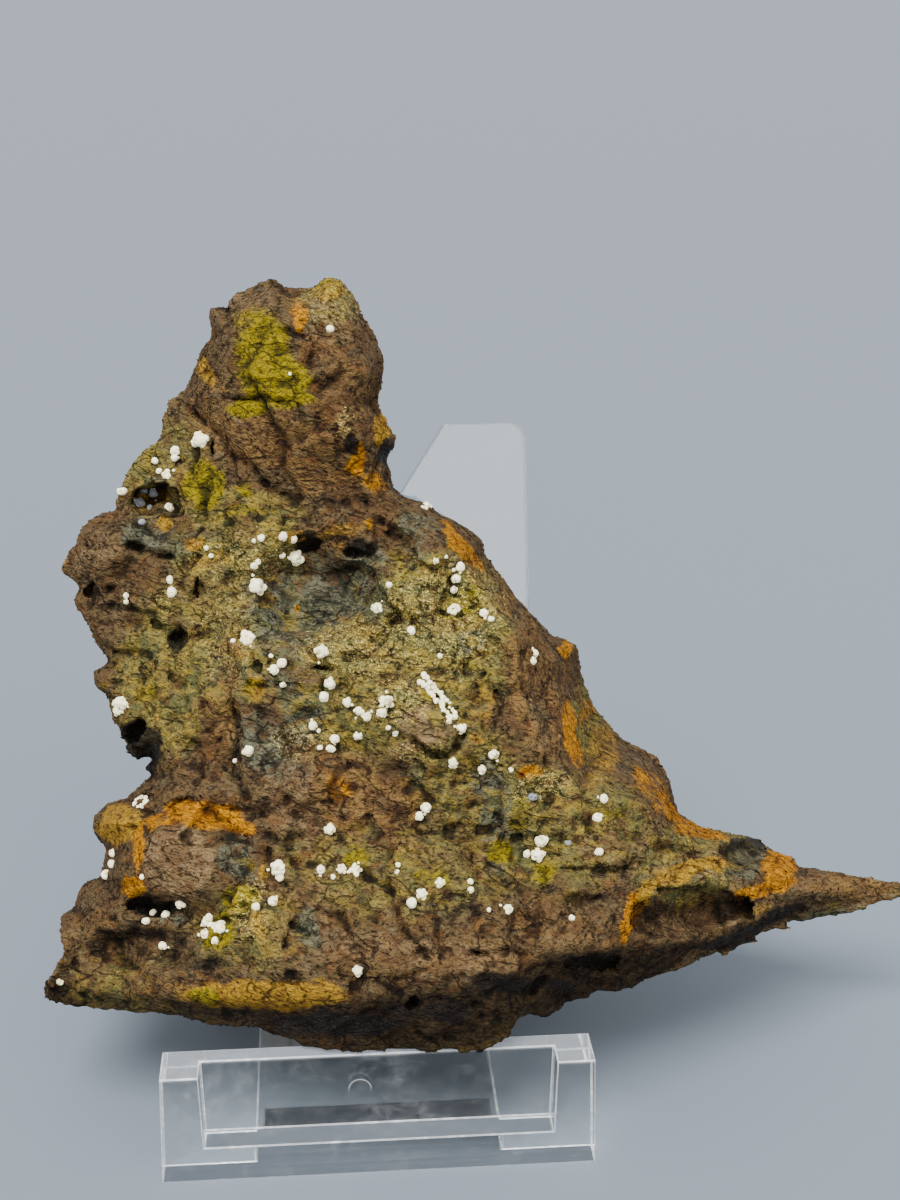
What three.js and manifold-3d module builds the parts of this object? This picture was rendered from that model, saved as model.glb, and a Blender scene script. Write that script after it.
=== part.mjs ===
// White balls of fluorapatite on a brown, crusted piece of limonite, which leans on a clear moulded stand.
// Millimetres, +Z up, the front looks along -Y. The origin is the middle of the stand's underside.

import * as THREE from "three";
import { mergeVertices } from "three/addons/utils/BufferGeometryUtils.js";
import Module from "manifold-3d";

const wasm = await Module();
wasm.setup();

// Clear stand
const standWidth = 47;
const standDepth = 48;
const barHeight = 13;
const barDepth = 5.2;
const postWidth = 4.8;
const postDraft = 0.35;
const wallThickness = 2.1;
const apronHeight = 4.2;
const apronWidth = 43.6;
const tongueWidth = 27;
const tongueThickness = 2.8;
const footWidth = 34;
const footDepth = 4;
const plateWidth = 42;
const plateHeight = 72.4;
const plateThickness = 2.8;
const plateLean = 15;
const plateFrontAtFloor = 8.7;
const plateCornerRadius = 2.2;
const notchHalfWidth = 10.9;
const notchDepth = 14.5;
const notchFloorWidth = 1.2;
const ribSpread = 9;
const ribThickness = 2.4;
const ribHeight = 27;
const ribTopDepth = 1.8;

// Stone: where it leans, and how it is seen. Its outline is drawn on a plane through its middle, which
// faces an eye this far away, so a section nearer the eye is that much smaller than the drawn one.
const eyeDistance = 200;
const stoneTilt = 20;
const stoneHeading = 4.5;
const stonePlace = [9.5, 1.2, 56.6];
const restGap = 0.32;

// Points of the outline, across and up from the middle, clockwise from the peak
const outline = [
  [-13.1, 35.8], [-12.1, 35.1], [-11.1, 33.8], [-10.4, 31.9], [-8.9, 29.3], [-7.9, 27.0], [-7.8, 24.7],
  [-8.8, 21.9], [-7.1, 19.3], [-6.1, 17.6], [-7.1, 15.6], [-6.4, 12.6], [-4.9, 11.3], [-3.2, 10.8],
  [-1.6, 9.7], [1.4, 8.0], [3.4, 6.6], [3.7, 5.1], [5.8, 2.2], [8.6, -1.1], [11.4, -4.0], [14.0, -4.8],
  [14.6, -8.4], [15.9, -12.2], [19.0, -15.6], [22.4, -17.9], [24.1, -20.2], [25.2, -23.8], [27.8, -25.3],
  [30.9, -25.9], [34.2, -26.4], [35.7, -27.8], [37.9, -28.6], [38.9, -29.8], [43.8, -30.4], [50.6, -31.6],
  [50.6, -32.9], [47.6, -33.7], [42.7, -35.8], [38.7, -37.7], [36.4, -39.0], [32.8, -40.2], [32.0, -41.8],
  [29.4, -43.2], [26.1, -44.1], [23.0, -45.2], [22.4, -46.9], [19.1, -46.9], [17.2, -49.0], [16.3, -48.4],
  [12.4, -47.8], [10.7, -46.8], [9.1, -46.0], [7.6, -46.4], [6.6, -48.6], [3.3, -50.4], [-2.2, -50.7],
  [-10.0, -50.7], [-16.6, -50.4], [-17.1, -48.8], [-20.0, -48.3], [-21.7, -47.4], [-26.4, -47.2],
  [-29.3, -46.3], [-34.0, -45.8], [-41.7, -45.1], [-44.7, -44.4], [-45.2, -43.3], [-43.9, -41.0],
  [-42.6, -39.1], [-43.4, -35.2], [-41.6, -34.3], [-40.6, -31.9], [-38.8, -31.0], [-37.9, -27.6],
  [-38.8, -26.4], [-39.0, -24.2], [-37.6, -22.9], [-35.6, -22.2], [-32.7, -19.3], [-33.7, -18.7],
  [-32.8, -18.0], [-33.2, -17.1], [-35.0, -17.6], [-36.0, -16.3], [-37.3, -12.4], [-37.7, -10.8],
  [-39.1, -9.8], [-39.6, -8.0], [-37.7, -6.9], [-38.9, -5.2], [-41.0, -1.4], [-42.0, 0.0], [-41.2, 1.6],
  [-43.3, 3.0], [-42.9, 4.6], [-41.7, 6.0], [-40.8, 8.1], [-38.9, 9.6], [-37.3, 9.8], [-35.9, 13.8],
  [-33.2, 17.0], [-31.9, 18.0], [-31.9, 19.1], [-31.3, 21.9], [-29.3, 23.4], [-27.7, 27.4], [-26.2, 29.4],
  [-26.3, 31.9], [-24.6, 31.4], [-23.4, 33.2], [-21.7, 33.8], [-19.8, 34.7], [-17.7, 33.7], [-15.2, 34.2],
  [-14.0, 35.4],
];

// The front is bounded on the right by a ridge, past which the flank falls away
const frontRegion = [
  [-6.0, 80], [-6.1, 11.7], [-1.1, 9.4], [1.3, 4.4], [4.4, 0], [7.2, -4.4], [8.3, -11.1], [10.6, -16.1],
  [13.9, -21.1], [21.1, -22.8], [27.8, -25.6], [34.4, -30], [50, -31.7], [90, -31.7], [90, -90], [-90, -90],
  [-90, 80],
];
const flankFall = 2.3;

// Lines across the stone, from left to right
const frontLowerEdge = [
  [-45, -42.8], [-28.9, -44.4], [-12.2, -44.4], [3.3, -42], [12.2, -39.4], [21.1, -38.7], [32.2, -36.1],
  [38.9, -32.2], [50, -31.7],
];
const knobStep = [[-33, 1.2], [-24, 1.7], [-18, 1.3], [-13, 0.3], [0, 0]];
const underSlope = [[-45, 1.2], [-26, 1.0], [-18, 0.3], [8, 0.3], [13, 1.6], [50, 1.6]];
const knobLowerEdge = [
  [-33, 28], [-27.2, 20], [-21.7, 14.4], [-17.8, 11.4], [-13.3, 10.8], [-6.4, 12], [0, 14],
];
const upperRimNearness = [[-45, -8], [-6, -8], [5, -16], [15, -21], [30, -21], [50, -19.5]];
const lowerRimNearness = [
  [-45, 2], [-38, 3], [-30, 4.8], [-20, 7.2], [7, 7.4], [12, 1], [22, -6], [32, -12], [50, -19],
];
const rimDivide = [[-45, -36], [20, -36], [35, -33.5], [50, -32.2]];

const frontLean = 0.18;
const leftFallStart = -22;
const leftFall = 0.35;
const rightFallStart = 14;
const rightFall = 0.7;
const knobStepWidth = 0.9;
const knobRise = 2.4;
const knobRiseHeight = 9;
const knobRoofAt = -16.7;
const knobRoofRise = 2;
const knobRoofReach = 11;
const knobRoofFrom = 5;
const knobRoofTo = 14;
const frontRimRound = 3.2;
const backRimRound = 10;

// Swells and dips of the front: place, half-sizes, turn in degrees, rise
const swells = [
  { at: [-5, -13.9], size: [9, 4.6], turn: -25, rise: 2.6 },
  { at: [-30.6, -28.9], size: [8.2, 6.4], turn: 0, rise: 4 },
  { at: [-38.9, 6.1], size: [4.8, 4.4], turn: 0, rise: 2.2 },
  { at: [-2, -6], size: [14, 17], turn: 0, rise: 1.5 },
  { at: [-8, -38], size: [28, 13], turn: 0, rise: 2.6 },
  { at: [26.7, -34], size: [10, 6.2], turn: 6, rise: 2.8 },
  { at: [-15, 1], size: [8.4, 6.6], turn: 0, rise: -5.5 },
  { at: [-22, -16], size: [10, 6], turn: 20, rise: -2.2 },
  { at: [10, -30], size: [9, 7], turn: -15, rise: -1.8 },
  { at: [-34, -38.9], size: [8, 2.8], turn: 3, rise: -3 },
];

// Holes that go in from the front: place, half-sizes with the depth last, turn in degrees
const holes = [
  { at: [-15.9, 6.2], size: [1.9, 1.3, 4], turn: -6 },
  { at: [-10.2, 5.2], size: [2.3, 1.4, 4.5], turn: -8 },
  { at: [-33.1, 11.1], size: [3.3, 2.5, 5], turn: 12 },
  { at: [-34.4, -16.4], size: [2.9, 2.8, 8], turn: 0 },
  { at: [26.7, -34.7], size: [7.2, 3.4, 5.5], turn: 6 },
  { at: [32.2, -28.3], size: [3.0, 2.3, 6], turn: 0 },
  { at: [15.9, -40.2], size: [3.3, 1.5, 4], turn: 0 },
  { at: [34.1, -36.7], size: [6.5, 1.8, 3], turn: 28 },
  { at: [-30.2, -4.2], size: [1.7, 2.1, 4], turn: 0 },
  { at: [-32.8, -33.9], size: [3.4, 1.6, 3.5], turn: -20 },
];

// Lumps over the whole stone: spacing and height of each size
const lumps = [
  { spacing: 12, height: 1.3 },
  { spacing: 6.4, height: 0.7 },
];

// Patches of broken rock, each with its own height and slope: the front's and the back's
const frontPatches = { spacing: 8.5, height: 0.65, slope: 2.2, seed: 11 };
const backPatches = { spacing: 10, height: 1.5, slope: 2.4, seed: 59 };
const underRelief = 0.9;
const underReliefSpacing = 8;
const underReliefFrom = [-18, -12];
const backRelief = 2.8;
const backReliefSpacing = 9;
const backFreeFrom = 22.5;
const backFreeSlope = 0.6;
const backDepth = 28.5;

// Where the stone is sampled, and how far a turned-over sample lies from the surface
const cell = 2.48;
const turnedFill = 0.05 * cell;
const sampleLow = [-53, -14, -54];
const sampleHigh = [62, 34, 42];

// White balls: across, up, radius
const balls = [
  [-27.8, 17.8, 1.1], [-30.6, 16.6, 0.7], [-31.6, 13.9, 0.7], [-36.4, 12.1, 0.6], [-31.2, 10.2, 0.6],
  [-2.7, 10.4, 0.7], [-18.6, 7.0, 0.6], [-17.1, 4.7, 1.1], [-21.4, 1.6, 1.2], [-30.9, 0.9, 0.6],
  [-22.6, -4.2, 0.9], [-14.3, -5.8, 0.9], [-8.1, -0.9, 0.8], [-4.3, -3.4, 0.6], [1.1, 3.7, 0.6],
  [0.4, -1.0, 0.7], [9.3, -6.0, 0.6], [-18.7, -7.0, 0.7], [-13.3, -9.3, 0.8], [-10.0, -12.6, 0.8],
  [-7.0, -11.3, 1.0], [-6.2, -14.7, 0.6], [-10.2, -15.1, 0.8], [-12.8, -15.4, 0.6], [-15.2, -14.0, 0.6],
  [-22.4, -16.8, 0.8], [-36.7, -11.4, 0.9], [-34.3, -22.4, 0.9], [-37.4, -28.7, 0.7], [-13.2, -25.6, 0.8],
  [-19.1, -29.8, 1.0], [-18.9, -31.0, 0.7], [-12.0, -29.9, 0.7], [-10.4, -30.0, 0.8], [-29.9, -33.8, 0.6],
  [-31.6, -35.1, 0.6], [-19.7, -33.4, 0.7], [-26.9, -35.8, 0.9], [-25.7, -36.3, 0.9], [-27.2, -37.1, 0.6],
  [-4.2, -33.7, 0.7], [-3.1, -32.7, 0.7], [-1.1, -31.4, 0.7], [-2.7, -23.1, 0.7], [6.4, -34.3, 0.7],
  [-10.2, -41.2, 0.8], [0.3, -18.1, 0.7], [1.3, -14.3, 0.7], [4.9, -17.2, 0.6], [3.6, -18.9, 0.6],
  [16.4, -24.2, 0.6], [10.1, -26.8, 0.9], [9.8, -28.3, 0.9], [9.2, -21.9, 0.6],
];
const ballSink = 0.25;
const ballSwell = 1.12;

// The thin end of the tail: its ends across, its middle up, its radius where it leaves the stone
const tailTip = { from: 43, to: 50.5, up: -32.6, radius: 2 };

const rad = THREE.MathUtils.degToRad;
const stoneTurn = new THREE.Euler(-rad(stoneTilt), 0, -rad(stoneHeading), "ZYX");

// Joining and cutting solids

function toSolid(geometry) {
  const bare = geometry.index ? geometry.toNonIndexed() : geometry.clone();
  bare.deleteAttribute("normal");
  bare.deleteAttribute("uv");
  const merged = mergeVertices(bare, 1e-4);
  const mesh = new wasm.Mesh({
    numProp: 3,
    vertProperties: new Float32Array(merged.attributes.position.array),
    triVerts: new Uint32Array(merged.index.array),
  });
  return new wasm.Manifold(mesh);
}

function toGeometry(solid) {
  const mesh = solid.getMesh();
  const geometry = new THREE.BufferGeometry();
  geometry.setAttribute("position", new THREE.BufferAttribute(new Float32Array(mesh.vertProperties), 3));
  geometry.setIndex(new THREE.BufferAttribute(new Uint32Array(mesh.triVerts), 1));
  geometry.computeVertexNormals();
  return geometry;
}

function joined(solids) {
  return solids.reduce((whole, piece) => whole.add(piece));
}

// A box from its low corner to its high corner
function block(low, high) {
  const size = high.map((value, axis) => value - low[axis]);
  const geometry = new THREE.BoxGeometry(...size);
  geometry.translate(...low.map((value, axis) => value + size[axis] / 2));
  return toSolid(geometry);
}

// Shapes of the stone

function smoothStep(low, high, value) {
  const t = Math.min(1, Math.max(0, (value - low) / (high - low)));
  return t * t * (3 - 2 * t);
}

// Height of a line, drawn from left to right, over one place
function alongLine(line, across) {
  if (across <= line[0][0]) return line[0][1];
  for (let i = 1; i < line.length; i++) {
    if (across <= line[i][0]) {
      const t = (across - line[i - 1][0]) / (line[i][0] - line[i - 1][0]);
      return line[i - 1][1] + t * (line[i][1] - line[i - 1][1]);
    }
  }
  return line[line.length - 1][1];
}

// Distance to the edge of a region, positive inside it
function insideDistance(region, across, up) {
  let nearest = Infinity;
  let inside = false;
  for (let i = 0, j = region.length - 1; i < region.length; j = i++) {
    const [startX, startY] = region[j];
    const stepX = region[i][0] - startX;
    const stepY = region[i][1] - startY;
    const along = ((across - startX) * stepX + (up - startY) * stepY) / (stepX * stepX + stepY * stepY);
    const t = Math.min(1, Math.max(0, along));
    nearest = Math.min(nearest, Math.hypot(across - startX - t * stepX, up - startY - t * stepY));
    if (region[i][1] > up !== startY > up && across < startX + (stepX * (up - startY)) / stepY) {
      inside = !inside;
    }
  }
  return inside ? nearest : -nearest;
}

// Place relative to a form's middle, turned with it and in units of its half-sizes
function withinForm(form, across, up) {
  const turn = rad(form.turn);
  const right = across - form.at[0];
  const above = up - form.at[1];
  return [
    (right * Math.cos(turn) + above * Math.sin(turn)) / form.size[0],
    (above * Math.cos(turn) - right * Math.sin(turn)) / form.size[1],
  ];
}

function swellRise(form, across, up) {
  const [s, t] = withinForm(form, across, up);
  const fade = Math.max(0, 1 - s * s - t * t);
  return form.rise * fade * fade * (3 - 2 * fade);
}

// Even random value from 0 to 1 at each corner of a lattice
function latticeValue(i, j, k) {
  const wave = Math.sin(i * 127.1 + j * 311.7 + k * 74.7) * 43758.5453;
  return wave - Math.floor(wave);
}

// Smooth lumps from -1 to 1 between the lattice corners
function lumpiness(x, y, z) {
  const corner = [Math.floor(x), Math.floor(y), Math.floor(z)];
  const blend = [x - corner[0], y - corner[1], z - corner[2]].map((t) => t * t * (3 - 2 * t));
  let total = 0;
  for (let i = 0; i < 8; i++) {
    const step = [i & 1, (i >> 1) & 1, i >> 2];
    const weight = step.reduce((share, far, axis) => share * (far ? blend[axis] : 1 - blend[axis]), 1);
    total += weight * latticeValue(corner[0] + step[0], corner[1] + step[1], corner[2] + step[2]);
  }
  return 2 * total - 1;
}

// Height of a patch of broken rock: that of the nearest scattered point, with the patch's own slope
function brokenRise(patches, across, up) {
  const s = across / patches.spacing;
  const t = up / patches.spacing;
  let nearest = Infinity;
  let rise = 0;
  for (let i = Math.floor(s) - 1; i <= Math.floor(s) + 1; i++) {
    for (let j = Math.floor(t) - 1; j <= Math.floor(t) + 1; j++) {
      const right = s - i - latticeValue(i, j, patches.seed);
      const above = t - j - latticeValue(i, j, patches.seed + 1);
      const away = Math.hypot(right, above);
      if (away >= nearest) continue;
      nearest = away;
      const leanRight = 2 * latticeValue(i, j, patches.seed + 2) - 1;
      const leanUp = 2 * latticeValue(i, j, patches.seed + 3) - 1;
      const level = 2 * latticeValue(i, j, patches.seed + 4) - 1;
      rise = patches.height * (level + patches.slope * (leanRight * right + leanUp * above));
    }
  }
  return rise;
}

// How near the eye the front would be, with no rim
function frontNearness(across, up) {
  const aboveKnobEdge = up - alongLine(knobLowerEdge, across);
  const roof = Math.max(0, 1 - Math.abs(across - knobRoofAt) / knobRoofReach);
  const belowEdge = Math.max(0, alongLine(frontLowerEdge, across) - up);
  let near = -frontLean * up;
  near -= leftFall * Math.max(0, leftFallStart - across);
  near -= rightFall * Math.max(0, across - rightFallStart);
  near += flankFall * Math.min(0, insideDistance(frontRegion, across, up));
  near += alongLine(knobStep, across) * smoothStep(0, knobStepWidth, aboveKnobEdge);
  near += knobRise * smoothStep(0, knobRiseHeight, aboveKnobEdge);
  near += knobRoofRise * roof * smoothStep(knobRoofFrom, knobRoofTo, aboveKnobEdge);
  near -= alongLine(underSlope, across) * belowEdge;
  for (const form of swells) near += swellRise(form, across, up);
  return near + brokenRise(frontPatches, across, up);
}

function rimNearness(across, up) {
  const divide = alongLine(rimDivide, across);
  const share = smoothStep(divide - 4, divide + 4, up);
  return alongLine(lowerRimNearness, across) * (1 - share) + alongLine(upperRimNearness, across) * share;
}

// A quarter round from 0 at the rim to 1 at its full width
function rimRound(depth, width) {
  const left = Math.min(1, Math.max(0, 1 - depth / width));
  return Math.sqrt(1 - left * left);
}

function holeClearance(form, across, up, below) {
  const [s, t] = withinForm(form, across, up);
  const away = Math.hypot(s, t, below / form.size[2]);
  return (away - 1) * Math.min(form.size[0], form.size[1]);
}

// Positive inside the stone, negative outside it. The place is in the stone's own leaning axes.
function stoneFill(place) {
  const near = -place.y;
  const shrink = 1 - near / eyeDistance;
  const across = place.x / shrink;
  const up = place.z / shrink;
  const edge = insideDistance(outline, across, up);
  const rim = rimNearness(across, up);
  const open = frontNearness(across, up);
  const front = edge > 0 ? rim + (open - rim) * rimRound(edge, frontRimRound) : rim + edge;

  const upright = place.clone().applyEuler(stoneTurn).add(new THREE.Vector3(...stonePlace));
  const plateFace = plateFrontAtFloor + upright.z * Math.tan(rad(plateLean));
  const backSoft = 0.5 + 0.5 * lumpiness(place.x / backReliefSpacing, 7.3, place.z / backReliefSpacing);
  const besidePlate = backFreeSlope * Math.max(0, Math.abs(upright.x) - backFreeFrom);
  const toPlate = (plateFace - upright.y) * Math.cos(rad(plateLean)) - restGap - backRelief * backSoft ** 2
    + besidePlate;
  const deep = rim + backDepth + brokenRise(backPatches, across, up);
  const back = near - rim + (edge > 0 ? deep * rimRound(edge, backRimRound) : edge);
  const underSoft = 0.5 + 0.5 * lumpiness(place.x / underReliefSpacing, place.y / underReliefSpacing, 3.1);
  const underRise = underRelief * underSoft * smoothStep(...underReliefFrom, upright.y);
  const toBar = upright.z - barHeight - restGap - underRise;

  let fill = Math.min(front - near, back);
  for (const lump of lumps) {
    const grain = lumpiness(place.x / lump.spacing, place.y / lump.spacing, place.z / lump.spacing);
    fill += lump.height * grain;
  }
  for (const form of holes) fill = Math.min(fill, holeClearance(form, across, up, open - near));
  return Math.min(fill, toPlate, toBar);
}

// Sampled block of the stone, with its own counting of samples
function makeSamples() {
  const count = sampleLow.map((low, axis) => Math.ceil((sampleHigh[axis] - low) / cell) + 1);
  const strides = [1, count[0], count[0] * count[1]];
  const values = new Float64Array(count[0] * count[1] * count[2]);
  const place = new THREE.Vector3();
  for (let k = 0; k < count[2]; k++) {
    for (let j = 0; j < count[1]; j++) {
      for (let i = 0; i < count[0]; i++) {
        place.set(sampleLow[0] + i * cell, sampleLow[1] + j * cell, sampleLow[2] + k * cell);
        const atSide = i * j * k === 0 || i === count[0] - 1 || j === count[1] - 1 || k === count[2] - 1;
        values[i + j * strides[1] + k * strides[2]] = atSide ? -cell : stoneFill(place);
      }
    }
  }
  return { count, strides, values };
}

// Keeps the largest run of touching samples on one side, and moves the rest to the other side
function keepLargest(samples, wantInside) {
  const { strides, values } = samples;
  const seen = new Uint8Array(values.length);
  const runs = [];
  for (let start = 0; start < values.length; start++) {
    if (seen[start] || values[start] > 0 !== wantInside) continue;
    const run = [start];
    seen[start] = 1;
    for (let r = 0; r < run.length; r++) {
      for (const stride of strides) {
        for (const next of [run[r] - stride, run[r] + stride]) {
          if (next < 0 || next >= values.length || seen[next] || values[next] > 0 !== wantInside) continue;
          seen[next] = 1;
          run.push(next);
        }
      }
    }
    runs.push(run);
  }
  runs.sort((one, other) => other.length - one.length);
  for (const run of runs.slice(1)) {
    for (const index of run) values[index] = wantInside ? -turnedFill : turnedFill;
  }
  return runs.length - 1;
}

// Counts the separate groups of like corners in one cell, and gives the smallest group
function smallestGroup(samples, corners) {
  const groups = [];
  const group = new Array(8).fill(-1);
  for (let start = 0; start < 8; start++) {
    if (group[start] >= 0) continue;
    const members = [start];
    group[start] = groups.length;
    for (let m = 0; m < members.length; m++) {
      for (const bit of [1, 2, 4]) {
        const next = members[m] ^ bit;
        const alike = samples.values[corners[next]] > 0 === samples.values[corners[start]] > 0;
        if (group[next] < 0 && alike) {
          group[next] = groups.length;
          members.push(next);
        }
      }
    }
    groups.push(members);
  }
  if (groups.length <= 2) return null;
  return groups.sort((one, other) => one.length - other.length)[0];
}

function forEachCell(samples, visit) {
  const { count, strides } = samples;
  for (let k = 0; k < count[2] - 1; k++) {
    for (let j = 0; j < count[1] - 1; j++) {
      for (let i = 0; i < count[0] - 1; i++) {
        const base = i + j * strides[1] + k * strides[2];
        const corners = [];
        for (let c = 0; c < 8; c++) {
          corners.push(base + (c & 1) + ((c >> 1) & 1) * strides[1] + (c >> 2) * strides[2]);
        }
        visit(corners, base, [i, j, k]);
      }
    }
  }
}

// Turns corners over until the surface passes each cell once, so it meets itself nowhere
function openPinches(samples) {
  let changed = true;
  for (let round = 0; changed && round < 30; round++) {
    changed = false;
    forEachCell(samples, (corners) => {
      const members = smallestGroup(samples, corners);
      if (!members) return;
      for (const member of members) {
        samples.values[corners[member]] = samples.values[corners[member]] > 0 ? -turnedFill : turnedFill;
      }
      changed = true;
    });
  }
}

// One vertex for each cell that the surface passes, in the middle of where it cuts the cell's edges
function cellVertices(samples) {
  const { values } = samples;
  const positions = [];
  const vertexOf = new Map();
  forEachCell(samples, (corners, base, [i, j, k]) => {
    const sum = [0, 0, 0];
    let cuts = 0;
    for (let c = 0; c < 8; c++) {
      for (const axis of [0, 1, 2]) {
        const bit = 1 << axis;
        if (c & bit) continue;
        const from = values[corners[c]];
        const to = values[corners[c | bit]];
        if (from > 0 === to > 0) continue;
        const cut = [c & 1, (c >> 1) & 1, c >> 2];
        cut[axis] = Math.min(0.95, Math.max(0.05, from / (from - to)));
        cut.forEach((value, n) => { sum[n] += value; });
        cuts += 1;
      }
    }
    if (!cuts) return;
    vertexOf.set(base, positions.length / 3);
    [i, j, k].forEach((step, n) => positions.push(sampleLow[n] + (step + sum[n] / cuts) * cell));
  });
  return { positions, vertexOf };
}

// Splits a four-sided face along its shorter diagonal
function pushFace(triangles, positions, ring) {
  const length = (one, other) => Math.hypot(
    positions[3 * one] - positions[3 * other],
    positions[3 * one + 1] - positions[3 * other + 1],
    positions[3 * one + 2] - positions[3 * other + 2],
  );
  const [a, b, c, d] = ring;
  if (length(a, c) < length(b, d)) triangles.push(a, b, c, a, c, d);
  else triangles.push(a, b, d, b, c, d);
}

function stoneSurface() {
  const samples = makeSamples();
  let loose = 1;
  for (let round = 0; loose && round < 10; round++) {
    openPinches(samples);
    loose = keepLargest(samples, true) + keepLargest(samples, false);
  }
  const { positions, vertexOf } = cellVertices(samples);
  const { count, strides, values } = samples;
  const triangles = [];
  for (let k = 1; k < count[2] - 1; k++) {
    for (let j = 1; j < count[1] - 1; j++) {
      for (let i = 1; i < count[0] - 1; i++) {
        const here = i + j * strides[1] + k * strides[2];
        for (const axis of [0, 1, 2]) {
          const inside = values[here] > 0;
          if (inside === values[here + strides[axis]] > 0) continue;
          const one = strides[(axis + 1) % 3];
          const other = strides[(axis + 2) % 3];
          const ring = [here, here - one, here - one - other, here - other].map((base) => vertexOf.get(base));
          pushFace(triangles, positions, inside ? ring : ring.reverse());
        }
      }
    }
  }
  const geometry = new THREE.BufferGeometry();
  geometry.setAttribute("position", new THREE.Float32BufferAttribute(positions, 3));
  geometry.setIndex(triangles);
  return geometry;
}

// A place on the outline's plane, moved along its line of sight to a nearness
function atNearness(across, up, near) {
  const shrink = 1 - near / eyeDistance;
  return new THREE.Vector3(across * shrink, -near, up * shrink);
}

function makeTailTip() {
  const near = alongLine(upperRimNearness, tailTip.to);
  const start = atNearness(tailTip.from, tailTip.up, near);
  const end = atNearness(tailTip.to, tailTip.up, near);
  const tip = new THREE.ConeGeometry(tailTip.radius, start.distanceTo(end), 6);
  tip.rotateZ(-Math.PI / 2);
  tip.translate((start.x + end.x) / 2, start.y, (start.z + end.z) / 2);
  return toSolid(tip);
}

// A ball sits where the line of sight through its place meets the stone
function seatedBall(surface, [across, up, radius], index) {
  const eye = new THREE.Vector3(0, -eyeDistance, 0);
  const sight = new THREE.Vector3(across, 0, up).sub(eye).normalize();
  const hit = new THREE.Raycaster(eye, sight).intersectObject(surface)[0];
  if (!hit) return null;
  const ball = new THREE.OctahedronGeometry(radius * ballSwell, 1);
  ball.rotateZ(index);
  ball.rotateX(index * 1.7);
  const middle = hit.point.clone().addScaledVector(hit.face.normal, radius * (1 - 2 * ballSink));
  ball.translate(middle.x, middle.y, middle.z);
  return toSolid(ball);
}

function makeStone() {
  const bare = stoneSurface();
  const surface = new THREE.Mesh(bare, new THREE.MeshBasicMaterial());
  const seated = balls.map((ball, index) => seatedBall(surface, ball, index)).filter(Boolean);
  return toGeometry(joined([toSolid(bare), makeTailTip(), ...seated]));
}

// Shapes of the stand

function makeBar() {
  const front = -standDepth / 2;
  const back = front + barDepth;
  const half = standWidth / 2;
  const wall = block([-half + 1, back - wallThickness, 0], [half - 1, back, barHeight]);
  const apron = block([-apronWidth / 2, front, 0], [apronWidth / 2, back - wallThickness / 2, apronHeight]);
  const posts = [-1, 1].map((side) => {
    const section = new THREE.Shape([
      new THREE.Vector2(half - postWidth, 0),
      new THREE.Vector2(half, 0),
      new THREE.Vector2(half - postDraft, barHeight),
      new THREE.Vector2(half - postWidth + postDraft, barHeight),
    ]);
    const post = new THREE.ExtrudeGeometry(section, { depth: barDepth, bevelEnabled: false });
    post.rotateX(Math.PI / 2);
    post.translate(0, back, 0);
    return side > 0 ? toSolid(post) : toSolid(post.rotateZ(Math.PI).translate(0, front + back, 0));
  });
  return joined([wall, apron, ...posts]);
}

function makeTongue() {
  const half = tongueWidth / 2;
  const rear = standDepth / 2;
  const tongue = block([-half, -standDepth / 2 + 1, 0], [half, rear, tongueThickness]);
  const foot = block([-footWidth / 2, rear - footDepth, 0], [footWidth / 2, rear, tongueThickness]);
  return tongue.add(foot);
}

function plateOutline() {
  const half = plateWidth / 2;
  const top = plateHeight;
  const r = plateCornerRadius;
  const shape = new THREE.Shape();
  shape.moveTo(-half, -2);
  shape.lineTo(half, -2);
  shape.lineTo(half, top - r);
  shape.absarc(half - r, top - r, r, 0, Math.PI / 2, false);
  shape.lineTo(notchHalfWidth, top);
  shape.lineTo(notchFloorWidth, top - notchDepth);
  shape.lineTo(-notchFloorWidth, top - notchDepth);
  shape.lineTo(-notchHalfWidth, top);
  shape.lineTo(-half + r, top);
  shape.absarc(-half + r, top - r, r, Math.PI / 2, Math.PI, false);
  return shape;
}

function makePlate() {
  const plate = new THREE.ExtrudeGeometry(plateOutline(), {
    depth: plateThickness,
    bevelEnabled: false,
    curveSegments: 3,
  });
  plate.rotateX(Math.PI / 2);
  plate.translate(0, plateThickness, 0);
  plate.rotateX(-rad(plateLean));
  plate.translate(0, plateFrontAtFloor, 0);
  return toSolid(plate);
}

function makeRibs() {
  const slope = Math.tan(rad(plateLean));
  const inPlate = plateFrontAtFloor + plateThickness / 2;
  const rear = standDepth / 2;
  const section = new THREE.Shape([
    new THREE.Vector2(inPlate, 0),
    new THREE.Vector2(rear, 0),
    new THREE.Vector2(rear, tongueThickness + 1),
    new THREE.Vector2(inPlate + slope * ribHeight + ribTopDepth, ribHeight),
    new THREE.Vector2(inPlate + slope * ribHeight, ribHeight),
  ]);
  return [-1, 1].map((side) => {
    const rib = new THREE.ExtrudeGeometry(section, { depth: ribThickness, bevelEnabled: false });
    rib.rotateX(Math.PI / 2);
    rib.rotateZ(Math.PI / 2);
    rib.translate(side * ribSpread - ribThickness / 2, 0, 0);
    return toSolid(rib);
  });
}

function makeStand() {
  const belowFloor = block([-60, -60, -20], [60, 60, 0]);
  const whole = joined([makeBar(), makeTongue(), makePlate(), ...makeRibs()]);
  return toGeometry(whole.subtract(belowFloor));
}

// The whole object

const stone = new THREE.Mesh(
  makeStone(),
  new THREE.MeshStandardMaterial({ color: 0x6b5a35, roughness: 0.9, metalness: 0 }),
);
stone.name = "stone";
stone.rotation.copy(stoneTurn);
stone.position.set(...stonePlace);

const stand = new THREE.Mesh(
  makeStand(),
  new THREE.MeshStandardMaterial({ color: 0xdfe4e6, roughness: 0.15, metalness: 0 }),
);
stand.name = "stand";

const specimen = new THREE.Group();
specimen.add(stone, stand);

export default specimen;
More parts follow.
